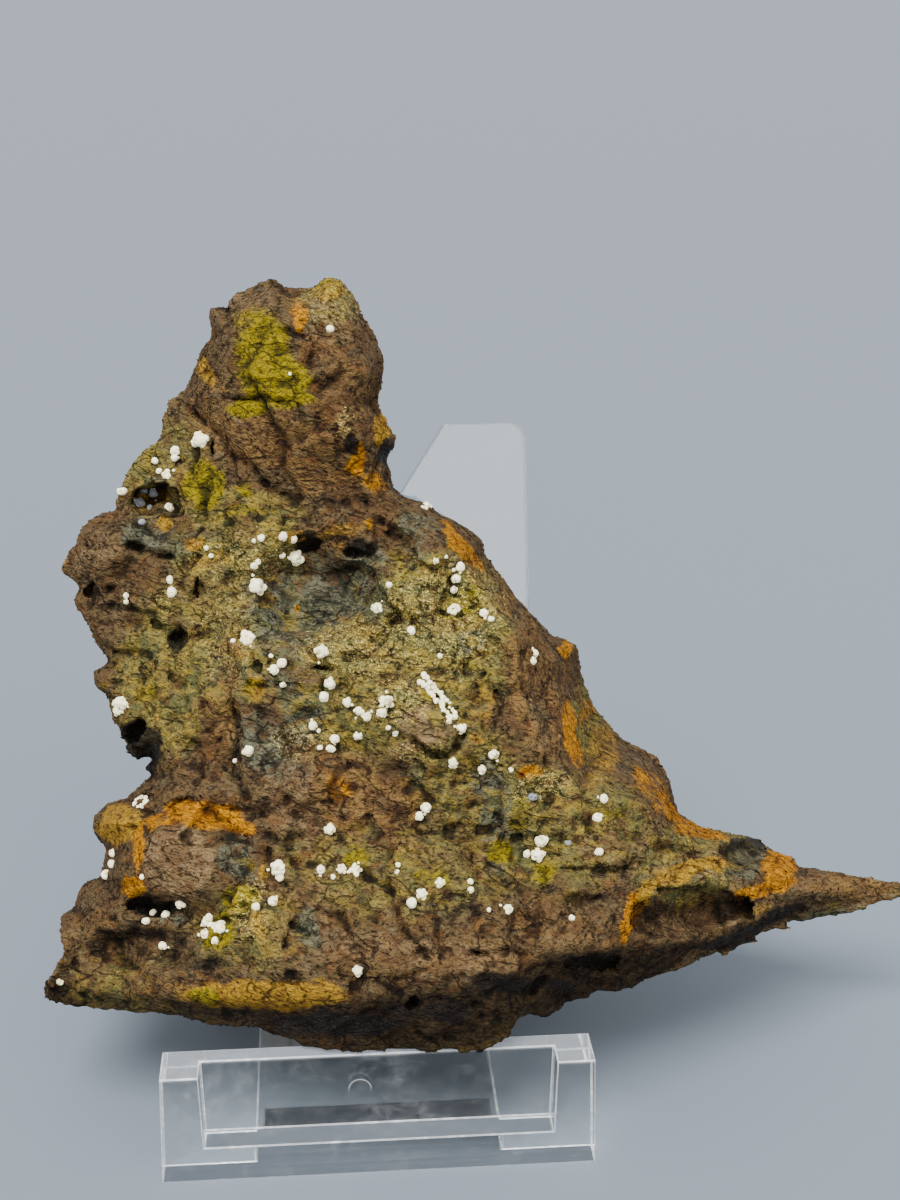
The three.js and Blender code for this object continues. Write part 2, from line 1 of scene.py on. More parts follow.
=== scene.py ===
# White fluorapatite balls on a crusted piece of limonite, which leans on a clear display stand
# Sizes are in millimetres until a mesh is made, and places on the stone are read across and up its front

import math
import bmesh
import bpy
import numpy as np
from mathutils import Matrix, Vector
from mathutils.bvhtree import BVHTree


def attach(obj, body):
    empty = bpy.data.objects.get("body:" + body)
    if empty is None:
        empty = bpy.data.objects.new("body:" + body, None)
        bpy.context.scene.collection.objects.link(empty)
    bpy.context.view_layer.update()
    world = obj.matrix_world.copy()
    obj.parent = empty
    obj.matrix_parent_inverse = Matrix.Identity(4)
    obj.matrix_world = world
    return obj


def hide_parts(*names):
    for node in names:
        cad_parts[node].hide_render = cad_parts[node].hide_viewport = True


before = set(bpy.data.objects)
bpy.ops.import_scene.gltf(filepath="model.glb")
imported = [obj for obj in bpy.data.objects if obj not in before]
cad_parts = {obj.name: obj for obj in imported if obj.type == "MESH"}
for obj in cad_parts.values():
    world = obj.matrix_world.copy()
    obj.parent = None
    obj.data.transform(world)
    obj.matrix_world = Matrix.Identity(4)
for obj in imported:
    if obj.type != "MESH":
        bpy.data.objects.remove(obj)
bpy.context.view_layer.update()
mm = 0.001


# How the stone leans, and the eye that its outline is drawn for

lean = {
    "eye": 200,              # from the eye to the plane on which the outline is drawn
    "tilt": 20,              # degrees
    "heading": 4.5,          # degrees
    "place": (9.5, 1.2, 56.6),
    "photoMiddle": (450, 600),
    "pixelsPerMm": 9,
}
turnToRow = np.array(
    Matrix.Rotation(-math.radians(lean["heading"]), 3, "Z")
    @ Matrix.Rotation(-math.radians(lean["tilt"]), 3, "X")
)


def toRow(points):
    return points @ turnToRow.T + np.array(lean["place"])


def fromPhoto(px, py):
    middleX, middleY = lean["photoMiddle"]
    return (px - middleX) / lean["pixelsPerMm"], (middleY - py) / lean["pixelsPerMm"]


def toPhoto(points):
    shrink = 1 + points[:, 1] / lean["eye"]
    middleX, middleY = lean["photoMiddle"]
    px = middleX + lean["pixelsPerMm"] * points[:, 0] / shrink
    py = middleY - lean["pixelsPerMm"] * points[:, 2] / shrink
    return px, py


# The stone's form, the same as the solid's, with finer relief

stoneForm = {
    "cell": 0.5,             # spacing of the samples that the surface is made from
    "quickCell": 0.9,
    "low": (-53, -14, -54),
    "high": (62, 34, 42),
    "restGap": 0.32,
    "frontLean": 0.18,
    "leftFall": (-22, 0.35),
    "rightFall": (14, 0.7),
    "flankFall": 2.3,
    "knobRoof": (-16.7, 2, 11),
    "knobRise": (2.4, 9),
    "knobRoofFrom": (5, 14),
    "knobStepWidth": 1.4,
    "frontRimRound": 3.2,
    "backRimRound": 10,
    "backDepth": 28.5,
    "backRelief": (9, 2.8),
    "backFreeFrom": 22.5,
    "backFreeSlope": 0.6,
    "underRelief": (8, 0.9),
    "underFrom": (-18, -12),
    "rimBlend": 4,
    "holeWander": [(1.7, 2, 0.7), (0.7, 1, 0.35)],       # spacing, its spacing in depth, reach
    "crackWander": (1.6, 0.35),
    "fissures": (5.5, 3.6, 14, 0.9),     # spacing across and up, spacing of their patches, depth
    "barHeight": 13,
    "plateLean": 15,
    "plateFrontAtFloor": 8.7,
}

outline = [
    (-13.1, 35.8), (-12.1, 35.1), (-11.1, 33.8), (-10.4, 31.9), (-8.9, 29.3), (-7.9, 27.0), (-7.8, 24.7),
    (-8.8, 21.9), (-7.1, 19.3), (-6.1, 17.6), (-7.1, 15.6), (-6.4, 12.6), (-4.9, 11.3), (-3.2, 10.8),
    (-1.6, 9.7), (1.4, 8.0), (3.4, 6.6), (3.7, 5.1), (5.8, 2.2), (8.6, -1.1), (11.4, -4.0), (14.0, -4.8),
    (14.6, -8.4), (15.9, -12.2), (19.0, -15.6), (22.4, -17.9), (24.1, -20.2), (25.2, -23.8), (27.8, -25.3),
    (30.9, -25.9), (34.2, -26.4), (35.7, -27.8), (37.9, -28.6), (38.9, -29.8), (43.8, -30.4), (50.6, -31.6),
    (50.6, -32.9), (47.6, -33.7), (42.7, -35.8), (38.7, -37.7), (36.4, -39.0), (32.8, -40.2), (32.0, -41.8),
    (29.4, -43.2), (26.1, -44.1), (23.0, -45.2), (22.4, -46.9), (19.1, -46.9), (17.2, -49.0), (16.3, -48.4),
    (12.4, -47.8), (10.7, -46.8), (9.1, -46.0), (7.6, -46.4), (6.6, -48.6), (3.3, -50.4), (-2.2, -50.7),
    (-10.0, -50.7), (-16.6, -50.4), (-17.1, -48.8), (-20.0, -48.3), (-21.7, -47.4), (-26.4, -47.2),
    (-29.3, -46.3), (-34.0, -45.8), (-41.7, -45.1), (-44.7, -44.4), (-45.2, -43.3), (-43.9, -41.0),
    (-42.6, -39.1), (-43.4, -35.2), (-41.6, -34.3), (-40.6, -31.9), (-38.8, -31.0), (-37.9, -27.6),
    (-38.8, -26.4), (-39.0, -24.2), (-37.6, -22.9), (-35.6, -22.2), (-32.7, -19.3), (-33.7, -18.7),
    (-32.8, -18.0), (-33.2, -17.1), (-35.0, -17.6), (-36.0, -16.3), (-37.3, -12.4), (-37.7, -10.8),
    (-39.1, -9.8), (-39.6, -8.0), (-37.7, -6.9), (-38.9, -5.2), (-41.0, -1.4), (-42.0, 0.0), (-41.2, 1.6),
    (-43.3, 3.0), (-42.9, 4.6), (-41.7, 6.0), (-40.8, 8.1), (-38.9, 9.6), (-37.3, 9.8), (-35.9, 13.8),
    (-33.2, 17.0), (-31.9, 18.0), (-31.9, 19.1), (-31.3, 21.9), (-29.3, 23.4), (-27.7, 27.4), (-26.2, 29.4),
    (-26.3, 31.9), (-24.6, 31.4), (-23.4, 33.2), (-21.7, 33.8), (-19.8, 34.7), (-17.7, 33.7), (-15.2, 34.2),
    (-14.0, 35.4),
]
frontRegion = [
    (-6.0, 80), (-6.1, 11.7), (-1.1, 9.4), (1.3, 4.4), (4.4, 0), (7.2, -4.4), (8.3, -11.1), (10.6, -16.1),
    (13.9, -21.1), (21.1, -22.8), (27.8, -25.6), (34.4, -30), (50, -31.7), (90, -31.7), (90, -90),
    (-90, -90), (-90, 80),
]

# Lines across the stone, from left to right: where they are, and what they give there
frontLowerEdge = [
    (-45, -42.8), (-28.9, -44.4), (-12.2, -44.4), (3.3, -42), (12.2, -39.4), (21.1, -38.7), (32.2, -36.1),
    (38.9, -32.2), (50, -31.7),
]
knobStep = [(-33, 0.7), (-24, 0.9), (-18, 0.8), (-13, 0.2), (0, 0)]
underSlope = [(-45, 1.2), (-26, 1.0), (-18, 0.3), (8, 0.3), (13, 1.6), (50, 1.6)]
knobLowerEdge = [(-33, 28), (-27.2, 20), (-21.7, 14.4), (-17.8, 11.4), (-13.3, 10.8), (-6.4, 12), (0, 14)]
upperRimNearness = [(-45, -8), (-6, -8), (5, -16), (15, -21), (30, -21), (50, -19.5)]
lowerRimNearness = [
    (-45, 2), (-38, 3), (-30, 4.8), (-20, 7.2), (7, 7.4), (12, 1), (22, -6), (32, -12), (50, -19),
]
rimDivide = [(-45, -36), (20, -36), (35, -33.5), (50, -32.2)]

# Swells and dips of the front: place, half-sizes, turn in degrees, rise
swells = [
    ((-5, -13.9), (9, 4.6), -25, 2.6),
    ((-30.6, -28.9), (8.2, 6.4), 0, 4),
    ((-38.9, 6.1), (4.8, 4.4), 0, 2.2),
    ((-2, -6), (14, 17), 0, 1.5),
    ((-8, -38), (28, 13), 0, 2.6),
    ((26.7, -34), (10, 6.2), 6, 2.8),
    ((-15, 1), (8.4, 6.6), 0, -5.5),
    ((-22, -16), (10, 6), 20, -2.2),
    ((10, -30), (9, 7), -15, -1.8),
    ((-34, -38.9), (8, 2.8), 3, -3),
]

# Holes that go in from the front: place, half-sizes with the depth last, turn, depth of the middle
holes = [
    ((-15.9, 6.2), (1.7, 0.7, 2.4), -6, 0),
    ((-10.2, 5.2), (2.3, 0.9, 2.6), -8, 0),
    ((-33.1, 11.1), (2.8, 1.7, 4), 12, 1),
    ((-31.4, 10.4), (2.0, 1.2, 4), -20, 0.5),
    ((-35.6, -15.2), (2.4, 1.5, 8), 24, 0),
    ((-34.0, -17.6), (1.5, 1.6, 6), -20, 0),
    ((-39.8, 1.1), (1.0, 0.8, 3), 0, 0),
    ((26.7, -34.7), (6.9, 3.2, 5.5), 6, 1),
    ((32.2, -28.3), (2.7, 2.0, 6), 0, 0),
    ((15.9, -40.2), (3.3, 1.1, 4), 0, 0),
    ((34.1, -36.7), (6.5, 1.5, 3), 28, 0),
    ((-30.2, -4.2), (1.1, 1.5, 4), 25, 0),
    ((-32.8, -34.2), (2.9, 1.1, 3.5), -6, 0),
    ((3.6, -39.2), (1.2, 0.6, 2.5), 0, 0),
    ((-4.4, -44.6), (1.6, 0.7, 3), 10, 0),
    ((9.5, -43), (2.0, 0.8, 3), 15, 0),
    ((14.0, -33.5), (1.0, 0.4, 2), -10, 0),
    ((-26.2, 16.9), (0.4, 1.1, 2.5), -10, 0),
    ((-28.3, 1.5), (0.7, 1.5, 3), 0, 0),
    ((-14.2, -7.6), (1.1, 0.6, 2.5), 0, 0),
    ((-6.8, 16.4), (0.9, 1.0, 3), 0, 0),
    ((-7.0, 13.7), (0.9, 0.8, 3), 0, 0),
]

# Cracks in the photo's pixels: width and depth in millimetres, then the line
cracks = [
    (0.35, 1.0, [(203, 424), (218, 434), (232, 455), (252, 468), (268, 486), (292, 499)]),
    (0.45, 1.3, [(180, 400), (203, 421)]),
    (0.4, 1.2, [(225, 398), (262, 399), (300, 404)]),
    (0.5, 1.2, [(282, 330), (312, 340)]),
    (0.55, 1.8, [(395, 735), (412, 741), (428, 752), (447, 756), (458, 748), (466, 736)]),
    (0.5, 1.6, [(130, 543), (152, 553), (172, 556)]),
    (0.45, 1.3, [(150, 620), (172, 632), (190, 652)]),
    (0.4, 1.2, [(146, 810), (160, 811), (178, 802), (188, 797)]),
    (0.4, 1.0, [(222, 806), (250, 810)]),
    (0.5, 1.5, [(140, 902), (158, 897), (182, 905)]),
    (0.45, 1.3, [(205, 925), (232, 920), (250, 912)]),
    (0.4, 1.2, [(655, 846), (672, 849), (690, 854), (700, 852)]),
    (0.45, 1.2, [(494, 690), (502, 704), (497, 722)]),
    (0.4, 1.0, [(524, 650), (520, 672), (524, 700)]),
    (0.5, 1.4, [(232, 700), (240, 735), (236, 770), (248, 800)]),
    (0.4, 1.2, [(300, 640), (318, 660), (322, 690)]),
    (0.5, 1.3, [(360, 872), (392, 892), (400, 925), (430, 960)]),
    (0.4, 1.1, [(470, 850), (482, 880), (476, 915)]),
    (0.45, 1.3, [(560, 868), (600, 872), (640, 862)]),
    (0.4, 1.0, [(270, 790), (300, 806), (340, 800)]),
    (0.5, 1.2, [(90, 640), (118, 652), (150, 655)]),
    (0.4, 1.1, [(500, 560), (512, 590), (520, 620)]),
]

# Smoother stretches of the front, in the photo's pixels: middle, half-sizes, turn, share of relief lost
smoothSpots = [
    (260, 440, 70, 26, -22, 0.85), (320, 480, 50, 22, -6, 0.7), (270, 372, 34, 46, 0, 0.5),
    (178, 862, 38, 32, 0, 0.75), (210, 818, 38, 14, -18, 0.9), (137, 845, 9, 28, 0, 0.8),
    (694, 915, 52, 26, 6, 0.8), (744, 858, 24, 20, 0, 0.8), (316, 600, 52, 40, 0, 0.45),
    (425, 725, 30, 24, 20, 0.4), (625, 770, 50, 40, 40, 0.5), (572, 735, 10, 34, 8, 0.8),
    (840, 888, 60, 14, -8, 0.4), (118, 822, 18, 18, 0, 0.6), (262, 340, 28, 30, 0, 0.5),
    (265, 996, 86, 15, 0, 0.85),
]

# Relief in millimetres: spacing and height of the lumps, then also slope and seed of the broken patches
lumps = [(12, 1.3), (6.4, 0.7)]
frontPatches = [(8.5, 0.65, 2.2, 11), (4.6, 0.32, 2.4, 101), (2.3, 0.13, 3.2, 131), (1.2, 0.07, 3.2, 151)]
backPatches = [(10, 1.5, 2.4, 59), (4.2, 0.6, 2.4, 161), (2.1, 0.25, 2.4, 171)]
ledges = [(4.4, 0.8, 21), (2.1, 0.42, 27), (1.2, 0.22, 37)]       # spacing, height, seed
crazing = [(3.6, 0.34, 0.55, 81), (1.9, 0.26, 0.35, 91)]        # spacing, width, depth, seed


def smoothStep(low, high, value):
    t = np.clip((value - low) / (high - low), 0, 1)
    return t * t * (3 - 2 * t)


def alongLine(line, across):
    places, values = zip(*line)
    return np.interp(across, places, values)


def segmentDistance(start, end, across, up):
    stepX = end[0] - start[0]
    stepY = end[1] - start[1]
    along = ((across - start[0]) * stepX + (up - start[1]) * stepY) / (stepX ** 2 + stepY ** 2)
    t = np.clip(along, 0, 1)
    return np.hypot(across - start[0] - t * stepX, up - start[1] - t * stepY)


def lineDistance(line, across, up):
    nearest = np.full(across.shape, 1e9)
    for start, end in zip(line, line[1:]):
        nearest = np.minimum(nearest, segmentDistance(start, end, across, up))
    return nearest


# Distance to the edge of a region, positive inside it
def insideDistance(region, across, up):
    inside = np.zeros(across.shape, bool)
    for start, end in zip(region[-1:] + region[:-1], region):
        if start[1] == end[1]:
            continue
        crossing = start[0] + (end[0] - start[0]) * (up - start[1]) / (end[1] - start[1])
        inside ^= ((end[1] > up) != (start[1] > up)) & (across < crossing)
    nearest = lineDistance(region + region[:1], across, up)
    return np.where(inside, nearest, -nearest)


def withinForm(middle, size, turn, across, up):
    angle = math.radians(turn)
    right = across - middle[0]
    above = up - middle[1]
    s = (right * math.cos(angle) + above * math.sin(angle)) / size[0]
    t = (above * math.cos(angle) - right * math.sin(angle)) / size[1]
    return s, t


# An even random value from 0 to 1 at each corner of a lattice
def latticeValue(i, j, k):
    wave = np.sin(i * 127.1 + j * 311.7 + k * 74.7) * 43758.5453
    return wave - np.floor(wave)


def lumpiness(x, y, z):
    x, y, z = np.broadcast_arrays(x, y, z)
    total = np.zeros(x.shape)
    low = [np.floor(v) for v in (x, y, z)]
    blend = [v - corner for v, corner in zip((x, y, z), low)]
    blend = [t * t * (3 - 2 * t) for t in blend]
    for corner in range(8):
        step = (corner & 1, (corner >> 1) & 1, corner >> 2)
        weight = 1
        for far, t in zip(step, blend):
            weight = weight * (t if far else 1 - t)
        total += weight * latticeValue(low[0] + step[0], low[1] + step[1], low[2] + step[2])
    return 2 * total - 1


# Rounds with creases between them
def creased(values):
    return 2.4 * np.abs(values) - 0.8


# The cells of a lattice around each place
def nearbyCells(s, t):
    for stepI in (-1, 0, 1):
        for stepJ in (-1, 0, 1):
            yield np.floor(s) + stepI, np.floor(t) + stepJ


# Flat patches, each at its own level and with its own slope
def brokenRise(patches, across, up):
    spacing, height, slope, seed = patches
    s = across / spacing
    t = up / spacing
    nearest = np.full(s.shape, 1e9)
    rise = np.zeros(s.shape)
    for i, j in nearbyCells(s, t):
        right = s - i - latticeValue(i, j, seed)
        above = t - j - latticeValue(i, j, seed + 1)
        away = np.hypot(right, above)
        leanRight = 2 * latticeValue(i, j, seed + 2) - 1
        leanUp = 2 * latticeValue(i, j, seed + 3) - 1
        level = 2 * latticeValue(i, j, seed + 4) - 1
        here = height * (level + slope * (leanRight * right + leanUp * above))
        rise = np.where(away < nearest, here, rise)
        nearest = np.minimum(away, nearest)
    return rise


# Fine cracks between patches of a crust, here and there
def crazed(lines, across, up):
    spacing, width, depth, seed = lines
    bend = 0.6 * spacing
    s = (across + bend * lumpiness(across / spacing, up / spacing, seed + 5.1)) / spacing
    t = (up + bend * lumpiness(across / spacing, up / spacing, seed + 9.4)) / (0.75 * spacing)
    nearest = np.full(s.shape, 1e9)
    second = nearest.copy()
    for i, j in nearbyCells(s, t):
        away = np.hypot(s - i - latticeValue(i, j, seed), t - j - latticeValue(i, j, seed + 1))
        second = np.minimum(second, np.maximum(away, nearest))
        nearest = np.minimum(away, nearest)
    share = smoothStep(-0.1, 0.3, lumpiness(across / (2.6 * spacing), up / (2.6 * spacing), seed + 2.2))
    return -depth * share * (1 - smoothStep(0, width / spacing, second - nearest))


# Thin layers with lips that stand out over the layer below, broken here and there
def ledgeRise(ledge, across, up):
    spacing, height, seed = ledge
    wander = 1.3 * lumpiness(across / (3.4 * spacing), up / (1.7 * spacing), seed)
    wander = wander + 0.25 * lumpiness(across / (0.6 * spacing), up / (0.6 * spacing), seed + 3.3)
    layer = (up + 0.1 * across) / spacing + wander
    share = smoothStep(-0.05, 0.45, lumpiness(across / (2.1 * spacing), up / (1.4 * spacing), seed + 7.7))
    return height * share * (0.5 - layer + np.floor(layer))


# How strongly any of some oval spots covers each place, from 0 to 1
def spotCover(spots, px, py, soft=0.5):
    cover = np.zeros(np.shape(px))
    for x, y, halfX, halfY, turn, strength in spots:
        s, t = withinForm((x, -y), (halfX, halfY), turn, px, -py)
        cover = np.maximum(cover, strength * np.clip((1 + soft / 2 - np.hypot(s, t)) / soft, 0, 1))
    return cover


# How near to the eye the front of the stone is, without its fine relief
def frontNearness(across, up):
    roofAt, roofRise, roofReach = stoneForm["knobRoof"]
    aboveKnobEdge = up - alongLine(knobLowerEdge, across)
    roof = np.clip(1 - np.abs(across - roofAt) / roofReach, 0, None)
    belowEdge = np.clip(alongLine(frontLowerEdge, across) - up, 0, None)
    near = -stoneForm["frontLean"] * up
    near = near - stoneForm["leftFall"][1] * np.clip(stoneForm["leftFall"][0] - across, 0, None)
    near = near - stoneForm["rightFall"][1] * np.clip(across - stoneForm["rightFall"][0], 0, None)
    near = near + stoneForm["flankFall"] * np.clip(insideDistance(frontRegion, across, up), None, 0)
    near = near + alongLine(knobStep, across) * smoothStep(0, stoneForm["knobStepWidth"], aboveKnobEdge)
    near = near + stoneForm["knobRise"][0] * smoothStep(0, stoneForm["knobRise"][1], aboveKnobEdge)
    near = near + roofRise * roof * smoothStep(*stoneForm["knobRoofFrom"], aboveKnobEdge)
    near = near - alongLine(underSlope, across) * belowEdge
    for middle, size, turn, rise in swells:
        s, t = withinForm(middle, size, turn, across, up)
        fade = np.clip(1 - s * s - t * t, 0, None)
        near = near + rise * fade * fade * (3 - 2 * fade)
    return near + brokenRise(frontPatches[0], across, up)


def rimNearness(across, up):
    divide = alongLine(rimDivide, across)
    share = smoothStep(divide - stoneForm["rimBlend"], divide + stoneForm["rimBlend"], up)
    return alongLine(lowerRimNearness, across) * (1 - share) + alongLine(upperRimNearness, across) * share


def rimRound(depth, width):
    left = np.clip(1 - depth / width, 0, 1)
    return np.sqrt(1 - left * left)


def fineRelief(across, up, rough):
    relief = 0
    for patches in frontPatches[1:]:
        relief = relief + brokenRise(patches, across, up)
    for ledge in ledges:
        relief = relief + ledgeRise(ledge, across, up)
    for lines in crazing:
        relief = relief + crazed(lines, across, up)
    relief = relief * rough
    spacing, reach = stoneForm["crackWander"]
    wander = reach * lumpiness(across / spacing, up / spacing, 5.5)
    for width, depth, line in cracks:
        places = [fromPhoto(*point) for point in line]
        away = lineDistance(places, across + wander, up - wander)
        relief = relief - depth * (1 - smoothStep(0.25 * width, width, away))
    spacingAcross, spacingUp, patchSpacing, depth = stoneForm["fissures"]
    lines = np.abs(lumpiness(across / spacingAcross, up / spacingUp, 41.5))
    where = smoothStep(0, 0.5, lumpiness(across / patchSpacing, up / patchSpacing, 17.5)) * rough
    return relief - depth * where * (1 - smoothStep(0.02, 0.09, lines))


# The front and the back of the stone as maps over the outline's plane
mapStep = 0.25
mapLow = (-52, -56)
mapHigh = (60, 44)


def makeMaps():
    across = np.arange(mapLow[0], mapHigh[0], mapStep)[:, None]
    up = np.arange(mapLow[1], mapHigh[1], mapStep)[None, :]
    across, up = np.broadcast_arrays(across, up)
    px = lean["photoMiddle"][0] + lean["pixelsPerMm"] * across
    py = lean["photoMiddle"][1] - lean["pixelsPerMm"] * up
    edge = insideDistance(outline, across, up)
    rim = rimNearness(across, up)
    bare = frontNearness(across, up)
    rough = 1 - spotCover(smoothSpots, px, py)
    face = bare + fineRelief(across, up, rough)
    rounded = rim + (face - rim) * rimRound(edge, stoneForm["frontRimRound"])
    front = np.where(edge > 0, rounded, rim + edge)
    deep = rim + stoneForm["backDepth"]
    for patches in backPatches:
        deep = deep + brokenRise(patches, across, up)
    behind = np.where(edge > 0, deep * rimRound(edge, stoneForm["backRimRound"]), edge)
    return {"front": front, "back": rim - behind, "bare": bare}


def blendAlong(values, spots, axis):
    low = np.clip(np.floor(spots).astype(int), 0, values.shape[axis] - 2)
    share = np.clip(spots - low, 0, 1)
    shape = [1, 1]
    shape[axis] = -1
    share = share.reshape(shape)
    return np.take(values, low, axis) * (1 - share) + np.take(values, low + 1, axis) * share


def sampleMap(values, across, up):
    columns = blendAlong(values, (across - mapLow[0]) / mapStep, 0)
    return blendAlong(columns, (up - mapLow[1]) / mapStep, 1)


def nearestOfMap(values, across, up):
    column = np.clip(np.round((across - mapLow[0]) / mapStep).astype(int), 0, values.shape[0] - 1)
    row = np.clip(np.round((up - mapLow[1]) / mapStep).astype(int), 0, values.shape[1] - 1)
    return values[column, row]


# Smooth lumps over a whole slice at once, because its samples lie in straight rows
def sliceLumps(xs, y, zs, spacing):
    def weights(spots):
        low = np.floor(spots)
        t = spots - low
        return low, t * t * (3 - 2 * t)
    lowX, shareX = weights(xs / spacing)
    lowZ, shareZ = weights(zs / spacing)
    lowY, shareY = weights(np.array([y / spacing]))
    i = np.arange(lowX.min(), lowX.max() + 2)[:, None]
    k = np.arange(lowZ.min(), lowZ.max() + 2)[None, :]
    level = latticeValue(i, lowY[0], k) * (1 - shareY) + latticeValue(i, lowY[0] + 1, k) * shareY
    col = (lowX - lowX.min()).astype(int)
    row = (lowZ - lowZ.min()).astype(int)
    rows = level[col] * (1 - shareX[:, None]) + level[col + 1] * shareX[:, None]
    return 2 * (rows[:, row] * (1 - shareZ) + rows[:, row + 1] * shareZ) - 1


def holeClearance(hole, across, up, below):
    middle, size, turn, sink = hole
    s, t = withinForm(middle, size, turn, across, up)
    away = np.sqrt(s * s + t * t + ((below - sink) / size[2]) ** 2)
    return (away - 1) * min(size[0], size[1])


# How far each place is clear of the stand's bar and its leaning plate
def standClearance(points):
    row = toRow(points)
    plateLean = math.radians(stoneForm["plateLean"])
    face = stoneForm["plateFrontAtFloor"] + row[..., 2] * math.tan(plateLean)
    beside = stoneForm["backFreeSlope"] * np.clip(np.abs(row[..., 0]) - stoneForm["backFreeFrom"], 0, None)
    toPlate = (face - row[..., 1]) * math.cos(plateLean) - stoneForm["restGap"] + beside
    toBar = row[..., 2] - stoneForm["barHeight"] - stoneForm["restGap"]
    return toPlate, toBar, row[..., 1]


# How far the edges of the holes wander
def holeWander(across, y, up, seed):
    wander = 0
    for spacing, depthSpacing, reach in stoneForm["holeWander"]:
        wander = wander + reach * lumpiness(across / spacing, up / spacing, y / depthSpacing + seed)
    return wander


# How deep inside the stone each place of a slice is, negative outside it
def fillSlice(maps, xs, y, zs):
    shrink = 1 + y / lean["eye"]
    across = xs / shrink
    up = zs / shrink
    front = sampleMap(maps["front"], across, up)
    back = sampleMap(maps["back"], across, up)
    fill = np.minimum(front + y, -y - back)
    for spacing, height in lumps:
        fill = fill + height * sliceLumps(xs, y, zs, spacing)
    below = sampleMap(maps["bare"], across, up) + y
    across, up = np.broadcast_arrays(across[:, None], up[None, :])
    wanderAcross = holeWander(across, y, up, 4.4)
    wanderUp = holeWander(across, y, up, 8.8)
    for hole in holes:
        fill = np.minimum(fill, holeClearance(hole, across + wanderAcross, up + wanderUp, below))
    grid = np.stack(np.broadcast_arrays(xs[:, None], y, zs[None, :]), -1)
    toPlate, toBar, rowY = standClearance(grid)
    spacing, relief = stoneForm["backRelief"]
    soft = 0.5 + 0.5 * lumpiness(xs[:, None] / spacing, 7.3, zs[None, :] / spacing)
    spacing, rise = stoneForm["underRelief"]
    under = rise * (0.5 + 0.5 * lumpiness(xs[:, None] / spacing, y / spacing, 3.1))
    under = under * smoothStep(*stoneForm["underFrom"], rowY)
    return np.minimum(fill, np.minimum(toPlate - relief * soft ** 2, toBar - under))


def sampleStone(maps, cell):
    xs, ys, zs = (np.arange(low, high, cell) for low, high in zip(stoneForm["low"], stoneForm["high"]))
    fill = np.stack([fillSlice(maps, xs, y, zs) for y in ys], 1).astype(np.float32)
    for axis in range(3):
        sides = np.moveaxis(fill, axis, 0)
        sides[0] = -cell
        sides[-1] = -cell
    return fill


pinchRounds = 12
turnedFill = 0.05        # share of a cell that a turned corner is from the surface
cornerMargin = 0.05      # share of a cell's edge that is kept between a cut and a corner


# For each pattern of inside corners of a cell, the corners to turn over so that one surface passes it
def pinchTable():
    table = np.zeros(256, np.uint8)
    for pattern in range(256):
        left = set(range(8))
        groups = []
        while left:
            members = [left.pop()]
            for member in members:
                for bit in (1, 2, 4):
                    other = member ^ bit
                    if other in left and (pattern >> other) & 1 == (pattern >> member) & 1:
                        left.remove(other)
                        members.append(other)
            groups.append(members)
        if len(groups) > 2:
            smallest = min(groups, key=len)
            table[pattern] = sum(1 << member for member in smallest)
    return table


def cornerSlices(shape):
    for corner in range(8):
        step = (corner & 1, (corner >> 1) & 1, corner >> 2)
        yield corner, tuple(slice(s, n - 1 + s) for s, n in zip(step, shape))


def openPinches(fill, cell):
    table = pinchTable()
    for _ in range(pinchRounds):
        pattern = np.zeros([n - 1 for n in fill.shape], np.uint8)
        for corner, part in cornerSlices(fill.shape):
            pattern |= (fill[part] > 0).astype(np.uint8) << corner
        turned = table[pattern]
        if not turned.any():
            return
        for corner, part in cornerSlices(fill.shape):
            where = (turned >> corner) & 1 == 1
            view = fill[part]
            view[where] = np.where(view[where] > 0, -turnedFill * cell, turnedFill * cell)


# A point for each cell that the surface passes: the mean of the cuts through the cell's edges
def netPoints(fill, mixed, low, cell):
    cells = np.argwhere(mixed)
    values = np.stack([fill[part][mixed] for _, part in cornerSlices(fill.shape)], 1)
    total = np.zeros((len(cells), 3))
    cuts = np.zeros(len(cells))
    for corner in range(8):
        for axis in range(3):
            if corner >> axis & 1:
                continue
            start = values[:, corner]
            end = values[:, corner | 1 << axis]
            cut = (start > 0) != (end > 0)
            place = np.tile([corner & 1, (corner >> 1) & 1, corner >> 2], (len(cells), 1)).astype(float)
            share = start / np.where(cut, start - end, 1)
            place[:, axis] = np.clip(share, cornerMargin, 1 - cornerMargin)
            total += place * cut[:, None]
            cuts += cut
    return np.array(low) + (cells + total / cuts[:, None]) * cell


# A face across each edge of the samples that the surface cuts, facing outward
def netFaces(solid, number):
    faces = []
    for axis in range(3):
        inside = np.moveaxis(solid, axis, 0)
        numbers = np.moveaxis(number, axis, 0)
        i, j, k = np.nonzero((inside[:-1] != inside[1:])[:, 1:-1, 1:-1])
        j = j + 1
        k = k + 1
        around = ((j, k), (j - 1, k), (j - 1, k - 1), (j, k - 1))
        ring = np.stack([numbers[i, near, far] for near, far in around], 1)
        turn = ~inside[i, j, k] ^ (axis == 1)
        ring[turn] = ring[turn][:, ::-1]
        faces.append(ring)
    return np.concatenate(faces)


def surfaceNet(fill, low, cell):
    solid = fill > 0
    count = np.zeros([n - 1 for n in fill.shape], np.uint8)
    for _, part in cornerSlices(fill.shape):
        count += solid[part]
    mixed = (count > 0) & (count < 8)
    number = np.full(mixed.shape, -1, np.int32)
    number[mixed] = np.arange(mixed.sum())
    return netPoints(fill, mixed, low, cell), netFaces(solid, number)


